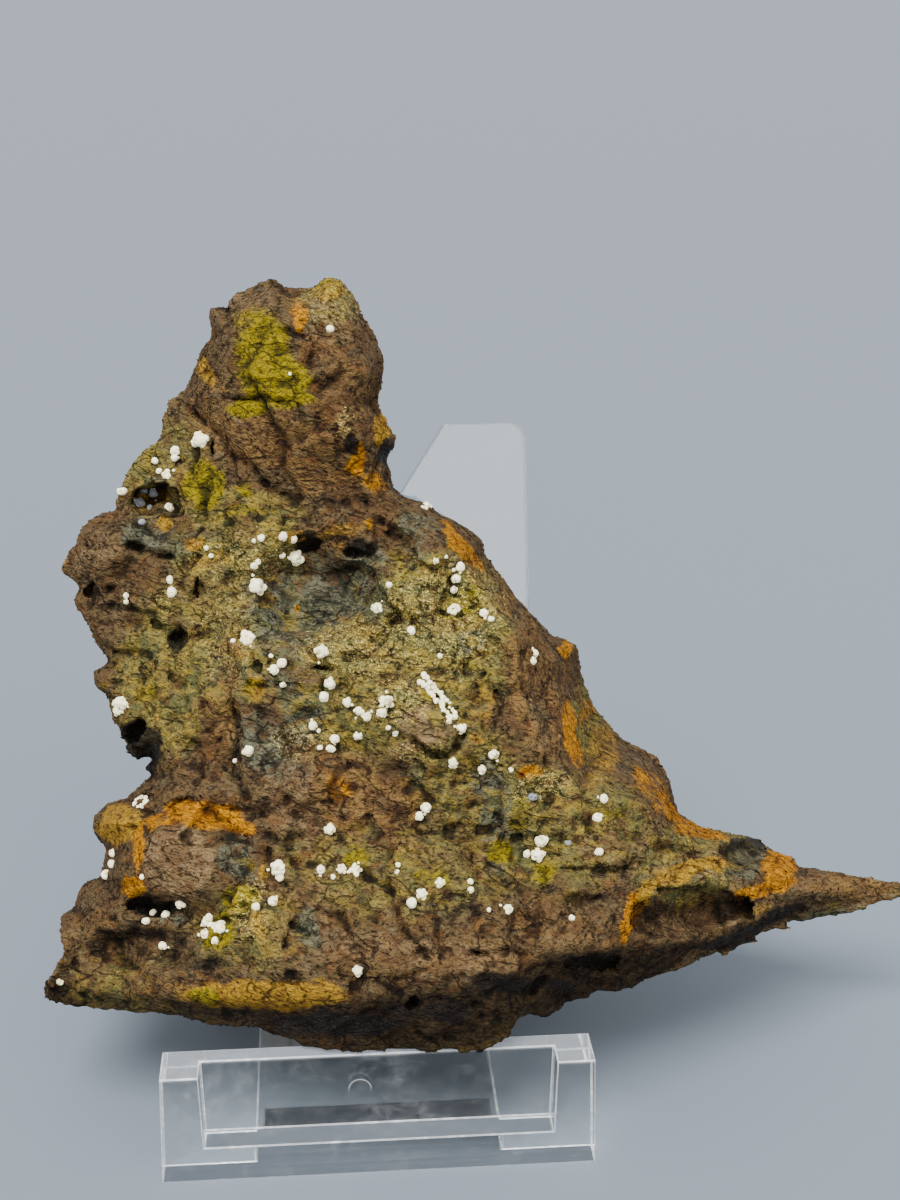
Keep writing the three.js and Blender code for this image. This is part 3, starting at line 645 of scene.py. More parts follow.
# Keeps the largest of the separate surfaces
def largestPiece(points, faces):
    label = np.arange(len(points))
    edges = np.concatenate([faces[:, [0, 1]], faces[:, [1, 2]], faces[:, [2, 3]]])
    for _ in range(200):
        lower = np.minimum(label[edges[:, 0]], label[edges[:, 1]])
        fresh = label.copy()
        np.minimum.at(fresh, edges[:, 0], lower)
        np.minimum.at(fresh, edges[:, 1], lower)
        fresh = fresh[fresh]
        if (fresh == label).all():
            break
        label = fresh
    kept = label == np.bincount(label).argmax()
    index = np.cumsum(kept) - 1
    return points[kept], index[faces[kept[faces[:, 0]]]]


def vertexNormals(points, faces):
    a, b, c, d = (points[faces[:, corner]] for corner in range(4))
    diagonals = np.cross(c - a, d - b)
    normals = np.zeros(points.shape)
    for corner in range(4):
        np.add.at(normals, faces[:, corner], diagonals)
    return normals / np.clip(np.linalg.norm(normals, axis=1), 1e-9, None)[:, None]


def neighbourMean(values, faces, rounds):
    edges = np.concatenate([faces[:, [0, 1]], faces[:, [1, 2]], faces[:, [2, 3]], faces[:, [3, 0]]])
    count = np.bincount(edges.ravel(), minlength=len(values)).astype(float)
    for _ in range(rounds):
        total = np.zeros(values.shape)
        np.add.at(total, edges[:, 0], values[edges[:, 1]])
        np.add.at(total, edges[:, 1], values[edges[:, 0]])
        values = total / count.reshape((-1,) + (1,) * (values.ndim - 1))
    return values


# Where each colour lies on the front, in the photo's pixels: middle, half-sizes, turn, strength

colourSpots = {
    "green": [
        (262, 356, 28, 44, 0, 1), (285, 378, 24, 20, 0, 1), (246, 408, 24, 9, 0, 1),
        (290, 400, 26, 10, 10, 0.8), (252, 322, 16, 20, 0, 0.6), (203, 484, 18, 24, 0, 1),
        (243, 487, 9, 7, 0, 0.7), (222, 933, 14, 20, -20, 1), (238, 900, 20, 14, 0, 0.9),
        (205, 997, 16, 9, 0, 1), (462, 604, 26, 14, 20, 0.7), (360, 855, 16, 12, 0, 0.7),
        (430, 878, 22, 12, 0, 0.6), (502, 850, 15, 18, 0, 0.8), (541, 872, 16, 12, 0, 0.7),
        (248, 864, 8, 9, 0, 0.5), (250, 686, 12, 9, 0, 0.5), (150, 694, 16, 9, 0, 0.5),
        (96, 690, 12, 9, 0, 0.5), (330, 287, 16, 10, 0, 0.5), (440, 560, 14, 10, 0, 0.5),
        (400, 570, 12, 22, 0, 0.5), (148, 455, 9, 18, -30, 0.4), (612, 812, 12, 6, 0, 0.6),
        (590, 735, 14, 36, -10, 0.35), (520, 815, 12, 20, 0, 0.5), (466, 668, 12, 8, 0, 0.5),
        (540, 600, 6, 26, 12, 0.3), (437, 699, 4, 28, 38, 1), (238, 508, 20, 9, 0, 0.6),
    ],
    "ochre": [
        (265, 995, 84, 15, 0, 1), (120, 825, 20, 20, 0, 0.9), (383, 430, 9, 17, -15, 1),
        (196, 541, 14, 7, 0, 0.9), (166, 527, 7, 7, 0, 1), (210, 562, 24, 10, 0, 0.5),
        (243, 652, 12, 8, 0, 0.5), (352, 640, 40, 16, 0, 0.4), (300, 536, 40, 5, 0, 0.5),
        (348, 530, 26, 7, 0, 0.5), (254, 690, 10, 14, 0, 0.8), (260, 925, 8, 18, 20, 0.6),
        (262, 872, 5, 14, 0, 0.8), (700, 868, 34, 6, 5, 1), (672, 880, 26, 7, 20, 0.8),
        (644, 898, 9, 22, -30, 0.9), (812, 927, 26, 8, 20, 1), (706, 975, 40, 9, 12, 0.5),
        (208, 372, 10, 16, 20, 0.6), (330, 290, 14, 12, 0, 0.7), (760, 905, 22, 6, 30, 0.5),
        (600, 760, 18, 40, -20, 0.5), (480, 700, 14, 24, 0, 0.5), (430, 800, 30, 12, 0, 0.35),
        (100, 985, 40, 8, 0, 0.4),
    ],
    "orange": [
        (205, 816, 36, 14, -4, 1), (236, 826, 20, 8, -28, 1), (160, 822, 20, 6, 0, 0.9),
        (137, 846, 7, 24, 0, 1), (134, 888, 10, 15, 0, 1), (299, 316, 8, 17, 0, 1),
        (359, 461, 10, 16, 0, 1), (378, 482, 14, 12, 0, 0.6), (464, 548, 8, 32, 38, 1),
        (570, 735, 8, 34, 6, 1), (568, 648, 8, 9, 0, 1), (532, 777, 12, 8, 15, 1),
        (650, 786, 9, 30, 36, 0.6), (680, 822, 30, 7, -38, 0.8), (630, 918, 9, 26, -12, 0.9),
        (778, 868, 16, 26, 10, 1), (760, 888, 30, 7, 5, 0.9), (790, 936, 14, 6, 20, 0.7),
        (340, 552, 9, 17, 0, 0.3), (340, 788, 16, 14, 0, 0.5), (296, 610, 4, 4, 0, 0.8),
        (370, 525, 6, 8, 0, 0.7), (477, 735, 11, 7, -15, 0.7), (590, 708, 8, 20, -20, 0.5),
        (700, 834, 30, 7, -10, 0.7),
    ],
    "slate": [
        (304, 600, 62, 50, 0, 1), (360, 584, 34, 38, 0, 1), (300, 690, 20, 56, 8, 1),
        (150, 485, 20, 12, 0, 0.8), (146, 534, 26, 16, 0, 0.9), (170, 540, 30, 14, 0, 0.7),
        (240, 856, 18, 28, 0, 0.9), (310, 930, 14, 24, 0, 0.8), (420, 536, 26, 20, 0, 0.8),
        (462, 566, 14, 14, 0, 0.5), (470, 640, 14, 14, 0, 0.8), (510, 838, 20, 22, 0, 0.7),
        (485, 775, 18, 20, 0, 0.8), (590, 775, 16, 18, 0, 0.7), (262, 664, 22, 44, 0, 0.6),
        (262, 740, 30, 32, 0, 0.8), (170, 915, 18, 10, 0, 0.7), (540, 720, 12, 40, 10, 0.4),
        (744, 860, 22, 18, 0, 0.7), (497, 822, 18, 56, 0, 0.85), (404, 775, 26, 12, -30, 0.5),
        (286, 770, 24, 18, 0, 0.5),
    ],
    "khaki": [
        (430, 640, 78, 92, 0, 1), (220, 640, 90, 70, 0, 0.7), (400, 870, 120, 50, 0, 0.6),
        (560, 830, 90, 60, 10, 0.8), (690, 860, 60, 40, 20, 0.8), (160, 470, 50, 50, 0, 0.7),
        (250, 930, 60, 40, 0, 0.6), (330, 305, 40, 24, 0, 0.6), (250, 560, 60, 30, 0, 0.9),
        (470, 780, 60, 60, 0, 0.7), (160, 685, 46, 72, 0, 1), (590, 720, 24, 60, -12, 0.6),
        (350, 690, 70, 74, 0, 0.9), (680, 893, 36, 13, 0, 1), (242, 512, 58, 24, -6, 0.95),
        (196, 556, 30, 26, 0, 0.6),
    ],
    "tan": [
        (180, 862, 38, 34, 0, 1), (426, 725, 28, 22, 20, 1), (300, 800, 40, 50, 0, 0.6),
        (440, 960, 120, 24, -8, 0.6), (300, 925, 60, 60, 0, 0.4), (690, 868, 60, 16, 6, 0.5),
        (330, 320, 40, 30, 0, 0.5), (840, 885, 60, 14, 0, 0.6), (690, 926, 44, 13, 4, 0.9),
        (250, 300, 24, 20, 0, 0.5), (100, 560, 30, 30, 0, 0.5), (620, 850, 50, 20, 0, 0.5),
        (280, 450, 30, 14, -20, 0.4),
    ],
    "redBrown": [
        (270, 440, 80, 26, -14, 1), (330, 470, 50, 26, 0, 0.9), (345, 400, 32, 50, 0, 0.6),
        (224, 690, 17, 74, -4, 0.9), (366, 804, 64, 36, -36, 1), (535, 690, 24, 80, 10, 0.9),
        (300, 900, 60, 40, 0, 0.4), (850, 885, 50, 16, 0, 0.8), (560, 930, 70, 24, -8, 0.5),
        (480, 960, 100, 24, -8, 0.4), (210, 400, 30, 20, 0, 0.5), (90, 950, 40, 40, 0, 0.4),
        (320, 345, 24, 16, 0, 0.5), (200, 600, 20, 30, 0, 0.5), (380, 960, 70, 26, 0, 0.4),
        (342, 556, 11, 17, 0, 1), (130, 985, 70, 12, 0, 0.6), (520, 560, 16, 60, -20, 0.8),
    ],
    # Soot: a dark crust, and painted shadow where the spots lie over holes, ledges and the underside
    "soot": [
        (142, 944, 62, 19, -6, 0.62), (190, 962, 50, 8, -6, 0.6), (96, 968, 30, 8, 0, 0.5),
        (152, 503, 22, 12, 12, 1), (137, 746, 24, 27, 0, 1), (308, 541, 12, 9, 30, 1),
        (361, 550, 16, 10, 0, 1), (150, 908, 22, 9, 0, 1), (386, 453, 9, 11, 0, 0.9),
        (351, 446, 7, 8, 0, 0.9), (762, 928, 44, 9, 23, 1), (722, 948, 20, 7, 10, 0.8),
        (690, 934, 40, 6, 4, 0.4), (178, 638, 9, 13, 20, 1), (92, 590, 9, 7, 0, 1),
        (594, 962, 30, 8, 0, 0.9), (745, 845, 22, 9, 0, 0.7), (430, 1010, 60, 14, 0, 0.6),
        (520, 985, 60, 10, 0, 0.7), (330, 1026, 90, 12, 0, 0.8), (180, 1016, 110, 6, 0, 0.6),
        (352, 598, 36, 20, -8, 0.42), (288, 588, 20, 14, 0, 0.3),
    ],
    "cream": [
        (225, 632, 30, 50, 0, 0.4), (440, 620, 60, 60, 0, 0.8), (350, 650, 50, 26, 0, 0.8),
        (240, 560, 50, 26, 0, 0.5), (400, 700, 30, 24, 0, 0.8), (420, 750, 30, 12, 0, 0.5),
        (250, 910, 18, 30, 0, 0.8), (345, 425, 7, 16, 0, 0.8), (165, 600, 10, 14, 0, 0.6),
        (540, 790, 30, 12, 10, 0.8), (330, 300, 30, 24, 0, 0.4), (300, 740, 30, 16, 0, 0.6),
    ],
}


# How far the edges of the colours wander: spacing in millimetres, reach in pixels
colourWander = [(3.2, 6), (1.2, 3)]

# Places inside the hollows that light still reaches, where the painted shade of deep places is left out
litSpots = [(684, 893, 36, 13, 0, 0.9), (686, 926, 48, 15, 4, 0.55), (744, 864, 22, 14, 0, 0.8)]

# Colours away from the front, where the photo doesn't reach: spacing of the patches, and share covered
hiddenPatches = {
    "green": (13, 0.62, 201),
    "ochre": (15, 0.62, 211),
    "orange": (11, 0.68, 221),
    "slate": (12, 0.4, 231),
    "khaki": (17, 0.1, 241),
    "tan": (16, 0.3, 281),
    "redBrown": (18, 0.15, 251),
    "soot": (9, 0.75, 261),
    "cream": (7, 0.7, 271),
}


hiddenSoftness = 0.25


def wandered(places, points, seed):
    for spacing, reach in colourWander:
        places = places + reach * lumpiness(*(points / spacing + seed).T)
    return places


def colourCover(name, points, px, py, shown):
    spacing, threshold, seed = hiddenPatches[name]
    lumpy = lumpiness(points[:, 0] / spacing + seed, points[:, 1] / spacing, points[:, 2] / spacing)
    hidden = smoothStep(threshold - hiddenSoftness, threshold + hiddenSoftness, lumpy)
    return shown * spotCover(colourSpots[name], px, py) + (1 - shown) * hidden


def makeMesh(name, points, faces):
    mesh = bpy.data.meshes.new(name)
    mesh.vertices.add(len(points))
    mesh.vertices.foreach_set("co", (points * mm).astype(np.float32).ravel())
    mesh.loops.add(faces.size)
    mesh.loops.foreach_set("vertex_index", faces.astype(np.int32).ravel())
    mesh.polygons.add(len(faces))
    mesh.polygons.foreach_set("loop_start", np.arange(len(faces), dtype=np.int32) * faces.shape[1])
    mesh.update(calc_edges=True)
    mesh.validate()
    piece = bpy.data.objects.new(name, mesh)
    bpy.context.scene.collection.objects.link(piece)
    return piece


def setAttribute(piece, name, values):
    attribute = piece.data.attributes.new(name, "FLOAT", "POINT")
    attribute.data.foreach_set("value", np.asarray(values, np.float32))


# Fine relief with creases, left out where the stone meets the stand: spacing and height in millimetres
fineLumps = [(3.4, 0.1), (1.9, 0.1), (1.1, 0.11), (0.7, 0.08)]
fineTurn = np.array(Matrix.Rotation(0.7, 3, (0.4, 1, 0.6)))
fineFree = 0.5           # millimetres from the stand at which it is whole
smoothLoss = 0.8         # share of it that the smoother stretches lose


def roughen(points, faces):
    normals = vertexNormals(points, faces)
    px, py = toPhoto(points)
    toPlate, toBar, _ = standClearance(points)
    free = np.clip(np.minimum(toPlate, toBar) / fineFree, 0, 1)
    rough = 1 - smoothLoss * spotCover(smoothSpots, px, py)
    push = np.zeros(len(points))
    turned = points @ fineTurn
    for spacing, height in fineLumps:
        push += height * creased(lumpiness(*(turned / spacing).T))
    return points + normals * (push * free * rough)[:, None]


# Where the masks of the colours and the shade begin and end, in millimetres or as a share of facing
paintForm = {
    "inFrontOfRim": (-3, 1),
    "facingEye": (-0.5, 0),
    "proudRounds": 5,
    "proudReach": 0.7,
    "underSoftness": 1.5,
    "underBack": 6,
    "facingDown": (0.2, 0.8),
    "deep": (2.0, 3.4),
    "looseFromStand": 1.2,
}


# The colours and the painted shade of the stone, kept on its points
def paintStone(piece, points, faces, maps):
    normals = vertexNormals(points, faces)
    shrink = 1 + points[:, 1] / lean["eye"]
    across = points[:, 0] / shrink
    up = points[:, 2] / shrink
    px, py = toPhoto(points)
    shown = smoothStep(*paintForm["inFrontOfRim"], -points[:, 1] - rimNearness(across, up))
    shown = shown * smoothStep(*paintForm["facingEye"], -normals[:, 1])
    wanderedX = wandered(px, points, 31.7)
    wanderedY = wandered(py, points, 67.2)
    for name in colourSpots:
        setAttribute(piece, name, colourCover(name, points, wanderedX, wanderedY, shown))
    # Proudness, which gives painted light on proud points and painted shade in hollows
    proud = ((points - neighbourMean(points, faces, paintForm["proudRounds"])) * normals).sum(1)
    setAttribute(piece, "proud", np.clip(0.5 + proud / paintForm["proudReach"], 0, 1))
    # Painted shade under the front's lower edge and on faces turned down
    soft = paintForm["underSoftness"]
    lower = smoothStep(-soft, soft, alongLine(frontLowerEdge, across) - up)
    lower = lower * (points[:, 1] < paintForm["underBack"])
    facingDown = smoothStep(*paintForm["facingDown"], -normals[:, 2]) * (1 - shown)
    setAttribute(piece, "under", np.maximum(lower, facingDown))
    # Painted shade deep in the holes, left out where light still reaches
    sunk = nearestOfMap(maps["front"], across, up) + points[:, 1]
    dim = 1 - spotCover(litSpots, px, py)
    setAttribute(piece, "deep", shown * dim * smoothStep(*paintForm["deep"], sunk))
    toPlate, toBar, _ = standClearance(points)
    clear = np.minimum(toPlate, toBar) > paintForm["looseFromStand"]
    setAttribute(piece, "crumbly", (1 - spotCover(smoothSpots, px, py)) * clear)


def makeStone():
    cell = stoneForm["cell"]
    maps = makeMaps()
    fill = sampleStone(maps, cell)
    openPinches(fill, cell)
    points, faces = surfaceNet(fill, stoneForm["low"], cell)
    points, faces = largestPiece(points, faces)
    points = roughen(points, faces)
    piece = makeMesh("stone_surface", toRow(points), faces)
    paintStone(piece, points, faces, maps)
    print("stone:", len(points), "points,", 2 * len(faces), "triangles")
    return piece, points, faces


# White balls in the photo's pixels: place and radius

ballForm = {
    "clusterFrom": 5.6,      # pixels: from this radius on, a ball is a cluster of smaller ones
    "largeFrom": 7,          # pixels: a larger cluster has more balls around its middle
    "around": (5, 7),
    "mainPart": 0.74,        # shares of a cluster's radius: the middle ball, the others, and their places
    "partSize": (0.28, 0.5),
    "partAway": (0.38, 0.66),
    "partTurn": 0.5,
    "specksFrom": 4,         # pixels: above this radius, a ball may have a speck beside it
    "speckSize": (1.0, 1.9),
    "speckAway": (0.9, 1.3),
    "proud": 0.45,           # share of the radius that the middle stands off the stone
    "finerFrom": (1.9, 4.4),     # pixels: from these radii on, a ball is a finer mesh
    "details": (2, 3, 4),
    "lobes": 26,
    "lobeReach": (0.6, 1.15),
    "lobeWidth": 0.18,
    "lobeHeight": 0.34,
    "core": 0.7,             # share of the radius between the lobes
    "stretch": (0.85, 1.12),
    "seed": 7,
}
whiteBalls = [
    (200, 440, 10), (175, 451, 5.5), (175, 458, 4), (155, 461, 3.5), (159, 471, 3), (166, 475, 6),
    (122, 491, 5), (169, 508, 5), (330, 329, 4), (290, 374, 2), (426, 506, 6), (254, 541, 2.5),
    (261, 538, 4), (283, 537, 5), (293, 539, 5), (206, 548, 3), (211, 556, 2.5), (296, 558, 9),
    (282, 555, 4), (254, 566, 4), (258, 562, 3), (257, 586, 10), (170, 580, 4), (172, 592, 5),
    (126, 596, 3), (126, 602, 2.5), (247, 638, 8), (233, 641, 2.5), (321, 652, 8), (377, 608, 7),
    (389, 585, 3.5), (411, 631, 5), (436, 561, 3.5), (446, 557, 2.5), (460, 567, 5), (453, 570, 2.5),
    (456, 579, 5), (454, 590, 4), (484, 613, 4.5), (491, 619, 4), (534, 654, 4.5), (533, 661, 4),
    (440, 656, 3), (282, 663, 5.5), (274, 670, 5), (271, 656, 2.5), (283, 685, 3.5), (330, 684, 7),
    (324, 697, 5.5), (347, 702, 5), (359, 711, 6), (367, 717, 6), (387, 702, 8.5), (382, 713, 6),
    (394, 732, 5), (388, 728, 3), (313, 726, 5), (319, 731, 2.5), (358, 736, 6), (335, 739, 5.5),
    (331, 749, 4.5), (320, 748, 3.5), (248, 751, 7), (235, 761, 3), (120, 703, 8), (118, 711, 6),
    (113, 853, 4), (112, 864, 4), (106, 875, 5), (142, 877, 3), (331, 830, 7), (278, 868, 9),
    (280, 877, 6), (321, 870, 4.5), (342, 869, 6.5), (356, 870, 7), (333, 877, 3), (181, 904, 5),
    (153, 913, 4), (146, 921, 4), (166, 916, 5), (273, 901, 5), (256, 907, 4.5), (208, 922, 8),
    (219, 927, 8), (205, 934, 5), (215, 941, 4), (163, 946, 4.5), (412, 903, 5.5), (422, 894, 6.5),
    (440, 883, 6), (426, 808, 5), (419, 816, 4.5), (398, 865, 3), (397, 872, 3), (470, 882, 3),
    (471, 890, 3.5), (508, 909, 6), (572, 918, 3), (489, 910, 2.5), (358, 971, 6.5), (60, 982, 4),
    (453, 763, 6), (462, 729, 6.5), (494, 755, 5), (482, 770, 5), (511, 770, 2.5), (604, 799, 4.5),
    (598, 818, 5.5), (599, 852, 4.5), (541, 841, 8), (538, 855, 8), (527, 854, 4),
]
greyBalls = [
    (144, 491, 4), (153, 493, 6), (139, 503, 7), (142, 522, 4), (533, 797, 5), (568, 843, 3),
    (150, 508, 3.5),
]
ringBalls = [(141, 802, 8), (454, 609, 6)]       # rings of small balls round a bare middle
ringSteps = 9
crustLine = [(421, 678), (428, 684), (435, 694), (444, 702), (451, 715), (454, 721)]
crustWidth = 4.5
crustSteps = 4


def ringSpots():
    spots = []
    for px, py, radius in ringBalls:
        for step in range(ringSteps):
            angle = 2 * math.pi * step / ringSteps
            reach = radius * (0.62 + 0.16 * math.sin(5 * step))
            size = 2.4 + 0.9 * math.sin(3 * step + 1)
            spots.append((px + reach * math.cos(angle), py + reach * math.sin(angle), size))
    return spots


# The balls of the crust that grew along a line, with a bare strip in its middle
def crustSpots():
    spots = []
    for start, end in zip(crustLine, crustLine[1:]):
        length = math.dist(start, end)
        sideX = (end[1] - start[1]) / length * crustWidth
        sideY = (start[0] - end[0]) / length * crustWidth
        for step in range(crustSteps):
            px = start[0] + step / crustSteps * (end[0] - start[0])
            py = start[1] + step / crustSteps * (end[1] - start[1])
            for side, phase in ((1, 0), (-1, 2)):
                reach = side * (0.75 + 0.3 * math.sin(2.3 * px + phase))
                size = 2.6 + 0.9 * math.sin(1.7 * py + phase)
                spots.append((px + reach * sideX, py + reach * sideY, size))
    return spots


# A large ball is a cluster of smaller ones, as it grew
def splitCluster(spot, random):
    px, py, radius = spot
    if radius < ballForm["clusterFrom"]:
        return [spot]
    parts = [(px, py, ballForm["mainPart"] * radius)]
    turn = random.uniform(0, 2 * math.pi)
    count = ballForm["around"][radius > ballForm["largeFrom"]]
    for step in range(count):
        angle = turn + 2 * math.pi * step / count
        angle += random.uniform(-ballForm["partTurn"], ballForm["partTurn"])
        away = radius * random.uniform(*ballForm["partAway"])
        size = radius * random.uniform(*ballForm["partSize"])
        parts.append((px + away * math.cos(angle), py + away * math.sin(angle), size))
    return parts


# Specks of the same crust that lie around a ball
def nearbySpecks(spot, random):
    px, py, radius = spot
    specks = []
    for _ in range(random.integers(0, 2) if radius > ballForm["specksFrom"] else 0):
        angle = random.uniform(0, 2 * math.pi)
        away = radius * random.uniform(*ballForm["speckAway"]) + 1
        size = random.uniform(*ballForm["speckSize"])
        specks.append((px + away * math.cos(angle), py + away * math.sin(angle), size))
    return specks


def roundForm(detail):
    shape = bmesh.new()
    bmesh.ops.create_icosphere(shape, subdivisions=detail, radius=1)
    points = np.array([v.co for v in shape.verts])
    faces = np.array([[v.index for v in f.verts] for f in shape.faces])
    shape.free()
    return points, faces


# A ball with low lobes, no two alike
def lobedForm(points, random):
    count = ballForm["lobes"]
    lobes = random.normal(size=(count, 3))
    lobes /= np.linalg.norm(lobes, axis=1)[:, None]
    reach = random.uniform(*ballForm["lobeReach"], size=count)
    away = np.clip((1 - points @ lobes.T) / ballForm["lobeWidth"], 0, 1)
    rise = (reach * np.sqrt(1 - away ** 2)).max(1)
    stretch = random.uniform(*ballForm["stretch"], size=3)
    return points * (ballForm["core"] + ballForm["lobeHeight"] * rise)[:, None] * stretch, rise


# The size and the middle of a ball that sits where a line from the eye first meets the stone
def seatBall(tree, px, py, radius):
    across, up = fromPhoto(px, py)
    look = Vector((across, lean["eye"], up)).normalized()
    place = tree.ray_cast(Vector((0, -lean["eye"], 0)), look)[0]
    if place is None:
        return None
    size = radius / lean["pixelsPerMm"] * (1 + place.y / lean["eye"])
    return size, np.array(place - look * size * ballForm["proud"])


def makeBalls(name, spots, points, faces):
    random = np.random.default_rng(ballForm["seed"])
    tree = BVHTree.FromPolygons(points.tolist(), faces.tolist())
    forms = [roundForm(detail) for detail in ballForm["details"]]
    parts = [part for spot in spots for part in splitCluster(spot, random)]
    parts += [speck for spot in spots for speck in nearbySpecks(spot, random)]
    ballPoints = []
    ballFaces = []
    rises = []
    total = 0
    for px, py, radius in parts:
        seat = seatBall(tree, px, py, radius)
        if seat is None:
            continue
        formPoints, formFaces = forms[sum(radius >= limit for limit in ballForm["finerFrom"])]
        lobed, rise = lobedForm(formPoints, random)
        ballPoints.append(lobed * seat[0] + seat[1])
        ballFaces.append(formFaces + total)
        rises.append(rise)
        total += len(formPoints)
    piece = makeMesh(name, toRow(np.concatenate(ballPoints)), np.concatenate(ballFaces))
    setAttribute(piece, "rise", np.concatenate(rises))
    print(name + ":", len(ballPoints), "balls")
    return piece


# Shader maths

def colour(red, green, blue):
    shares = [value / 255 for value in (red, green, blue)]
    return tuple(s / 12.92 if s < 0.04045 else ((s + 0.055) / 1.055) ** 2.4 for s in shares) + (1,)


class Socket:
    def __init__(self, tree, output=None):
        self.tree = tree
        self.output = output

    # Adds a node: its settings come first, then the values or the links of its sockets
    def node(self, kind, settings, sockets, output=0):
        node = self.tree.nodes.new(kind)
        for name, value in settings.items():
            setattr(node, name, value)
        for name, value in sockets.items():
            if isinstance(value, Socket):
                self.tree.links.new(value.output, node.inputs[name])
            else:
                node.inputs[name].default_value = value
        return Socket(self.tree, node.outputs[output] if len(node.outputs) else None)

    def math(self, operation, first, second):
        return self.node("ShaderNodeMath", {"operation": operation}, {0: first, 1: second})

    def __add__(self, other):
        return self.math("ADD", self, other)

    def __radd__(self, other):
        return self.math("ADD", other, self)

    def __sub__(self, other):
        return self.math("SUBTRACT", self, other)

    def __rsub__(self, other):
        return self.math("SUBTRACT", other, self)

    def __mul__(self, other):
        return self.math("MULTIPLY", self, other)

    def __rmul__(self, other):
        return self.math("MULTIPLY", other, self)

    def __abs__(self):
        return self.math("ABSOLUTE", self, 0)

    def power(self, exponent):
        return self.math("POWER", self, exponent)

    # From 0 to 1 as this value goes from low to high
    def between(self, low, high):
        sockets = {"Value": self, "From Min": low, "From Max": high}
        return self.node("ShaderNodeMapRange", {"interpolation_type": "SMOOTHSTEP"}, sockets)

    # From the first colour to the second as the share goes from 0 to 1
    def blend(self, share, first, second, kind="MIX"):
        settings = {"data_type": "RGBA", "blend_type": kind}
        return self.node("ShaderNodeMix", settings, {0: share, 6: first, 7: second}, 2)

    def tinted(self, other, share):
        return self.blend(share, self, other)

    def darkened(self, other, share):
        return self.blend(share, self, other, "MULTIPLY")

    # Its size is in millimetres, and its output 1 is a vector
    def noise(self, size, detail=3, roughness=0.55, distortion=0, output=0):
        sockets = {
            "Vector": self, "Scale": 1 / (size * mm), "Detail": detail, "Roughness": roughness,
            "Distortion": distortion,
        }
        return self.node("ShaderNodeTexNoise", {}, sockets, output)

    def bump(self, distance):
        sockets = {"Height": self, "Strength": 1.0, "Distance": distance * mm}
        return self.node("ShaderNodeBump", {}, sockets)

    def principled(self, sockets):
        return self.node("ShaderNodeBsdfPrincipled", {}, sockets)

    def attribute(self, name):
        return self.node("ShaderNodeAttribute", {"attribute_name": name}, {}, "Fac")


def newFinish(name):
    material = bpy.data.materials.new(name)
    material.use_nodes = True
    material.node_tree.nodes.clear()
    place = Socket(material.node_tree).node("ShaderNodeTexCoord", {}, {}, "Object")
    return material, place


# The colours of the crusts: a light tone and a dark one of each, then what lies over them, then the colours
# of painted shade
stoneColours = {
    "brown": colour(84, 68, 43),
    "darkBrown": colour(44, 32, 21),
    "khaki": colour(113, 100, 49),
    "darkKhaki": colour(53, 48, 24),
    "tan": colour(116, 95, 65),
    "darkTan": colour(77, 59, 38),
    "redBrown": colour(108, 83, 46),
    "darkRedBrown": colour(60, 40, 25),
    "slate": colour(88, 87, 68),
    "darkSlate": colour(40, 41, 31),
    "ochre": colour(144, 111, 30),
    "darkOchre": colour(101, 71, 22),
    "green": colour(119, 104, 11),
    "darkGreen": colour(66, 59, 11),
    "orange": colour(160, 107, 3),
    "darkOrange": colour(110, 66, 6),
    "cream": colour(226, 205, 118),
    "rust": colour(102, 66, 30),
    "ash": colour(97, 88, 66),
    "umber": colour(80, 57, 34),
    "moss": colour(80, 82, 48),
    "straw": colour(142, 120, 44),
    # The last four darken: soot as a dark crust and as painted shadow, the others as painted shade in pits,
    # cracks, hollows, under the stone and deep in holes
    "soot": colour(18, 14, 11),
    "pitShade": colour(88, 70, 46),
    "creviceShade": colour(52, 40, 30),
    "hollowShade": colour(90, 64, 44),
}


# How the crusts are drawn: sizes in millimetres, and shares from 0 to 1
stoneLook = {
    "grainTurn": 14,             # degrees by which the grain leans
    "grainStretch": (1.9, 1.2, 1),
    "tone": (0.545, 0.705),      # range of the noise from the dark tone to the light one
    "edgeWeights": (1.7, 1.4, 0.9),      # how far broad, medium and fine noise fray a crust's edge
    "edge": (0.2, 0.85),
    "flecks": 0.85,              # how strongly each thing below shows
    # lines, fineLines, hollows, under and deep are shares of painted shade; soot is a dark crust and partly
    # painted shadow
    "lines": 0.6,
    "fineLines": 0.3,
    "hollows": 0.72,
    "under": 0.75,
    "deep": 0.6,
    "soot": 0.9,
    "lineSize": (2.2, 0.11),     # size of the patches between the cracks, and the cracks' width
    "fineLineSize": (0.85, 0.07),
    "crumbSize": 0.5,
    "bump": 0.42,
    "roughness": 0.88,
    "sootShine": 0.4,
}


def endFinish(material, shader):
    shader.node("ShaderNodeOutputMaterial", {}, {"Surface": shader})
    return material


# A crust's colour, from its dark tone to its light one
def twoTone(place, name, share):
    dark = stoneColours["dark" + name[0].upper() + name[1:]]
    return place.blend(share, dark, stoneColours[name])


# Thin dark lines of painted shade in the crust's cracks, broken off where the mask is low
def crackLines(place, size, width, mask):
    reach = 0.9 * size
    bend = place.noise(reach, 2, 0.5, 0, 1)
    sockets = {0: bend, 1: (reach * mm,) * 3, 2: place}
    moved = place.node("ShaderNodeVectorMath", {"operation": "MULTIPLY_ADD"}, sockets)
    sockets = {"Vector": moved, "Scale": 1 / (size * mm)}
    edge = place.node("ShaderNodeTexVoronoi", {"feature": "DISTANCE_TO_EDGE"}, sockets)
    return (1 - edge.between(0.3 * width / size, width / size)) * mask


# Lays crusts over each other, each ragged at its edge
def crusts(base, names, mixed, broad, medium, fine):
    byBroad, byMedium, byFine = stoneLook["edgeWeights"]
    ragged = byBroad * broad + byMedium * medium + byFine * fine - 1
    for name in names:
        cover = (mixed.attribute(name) * ragged).between(*stoneLook["edge"])
        base = base.tinted(twoTone(mixed, name, mixed), cover)
    return base


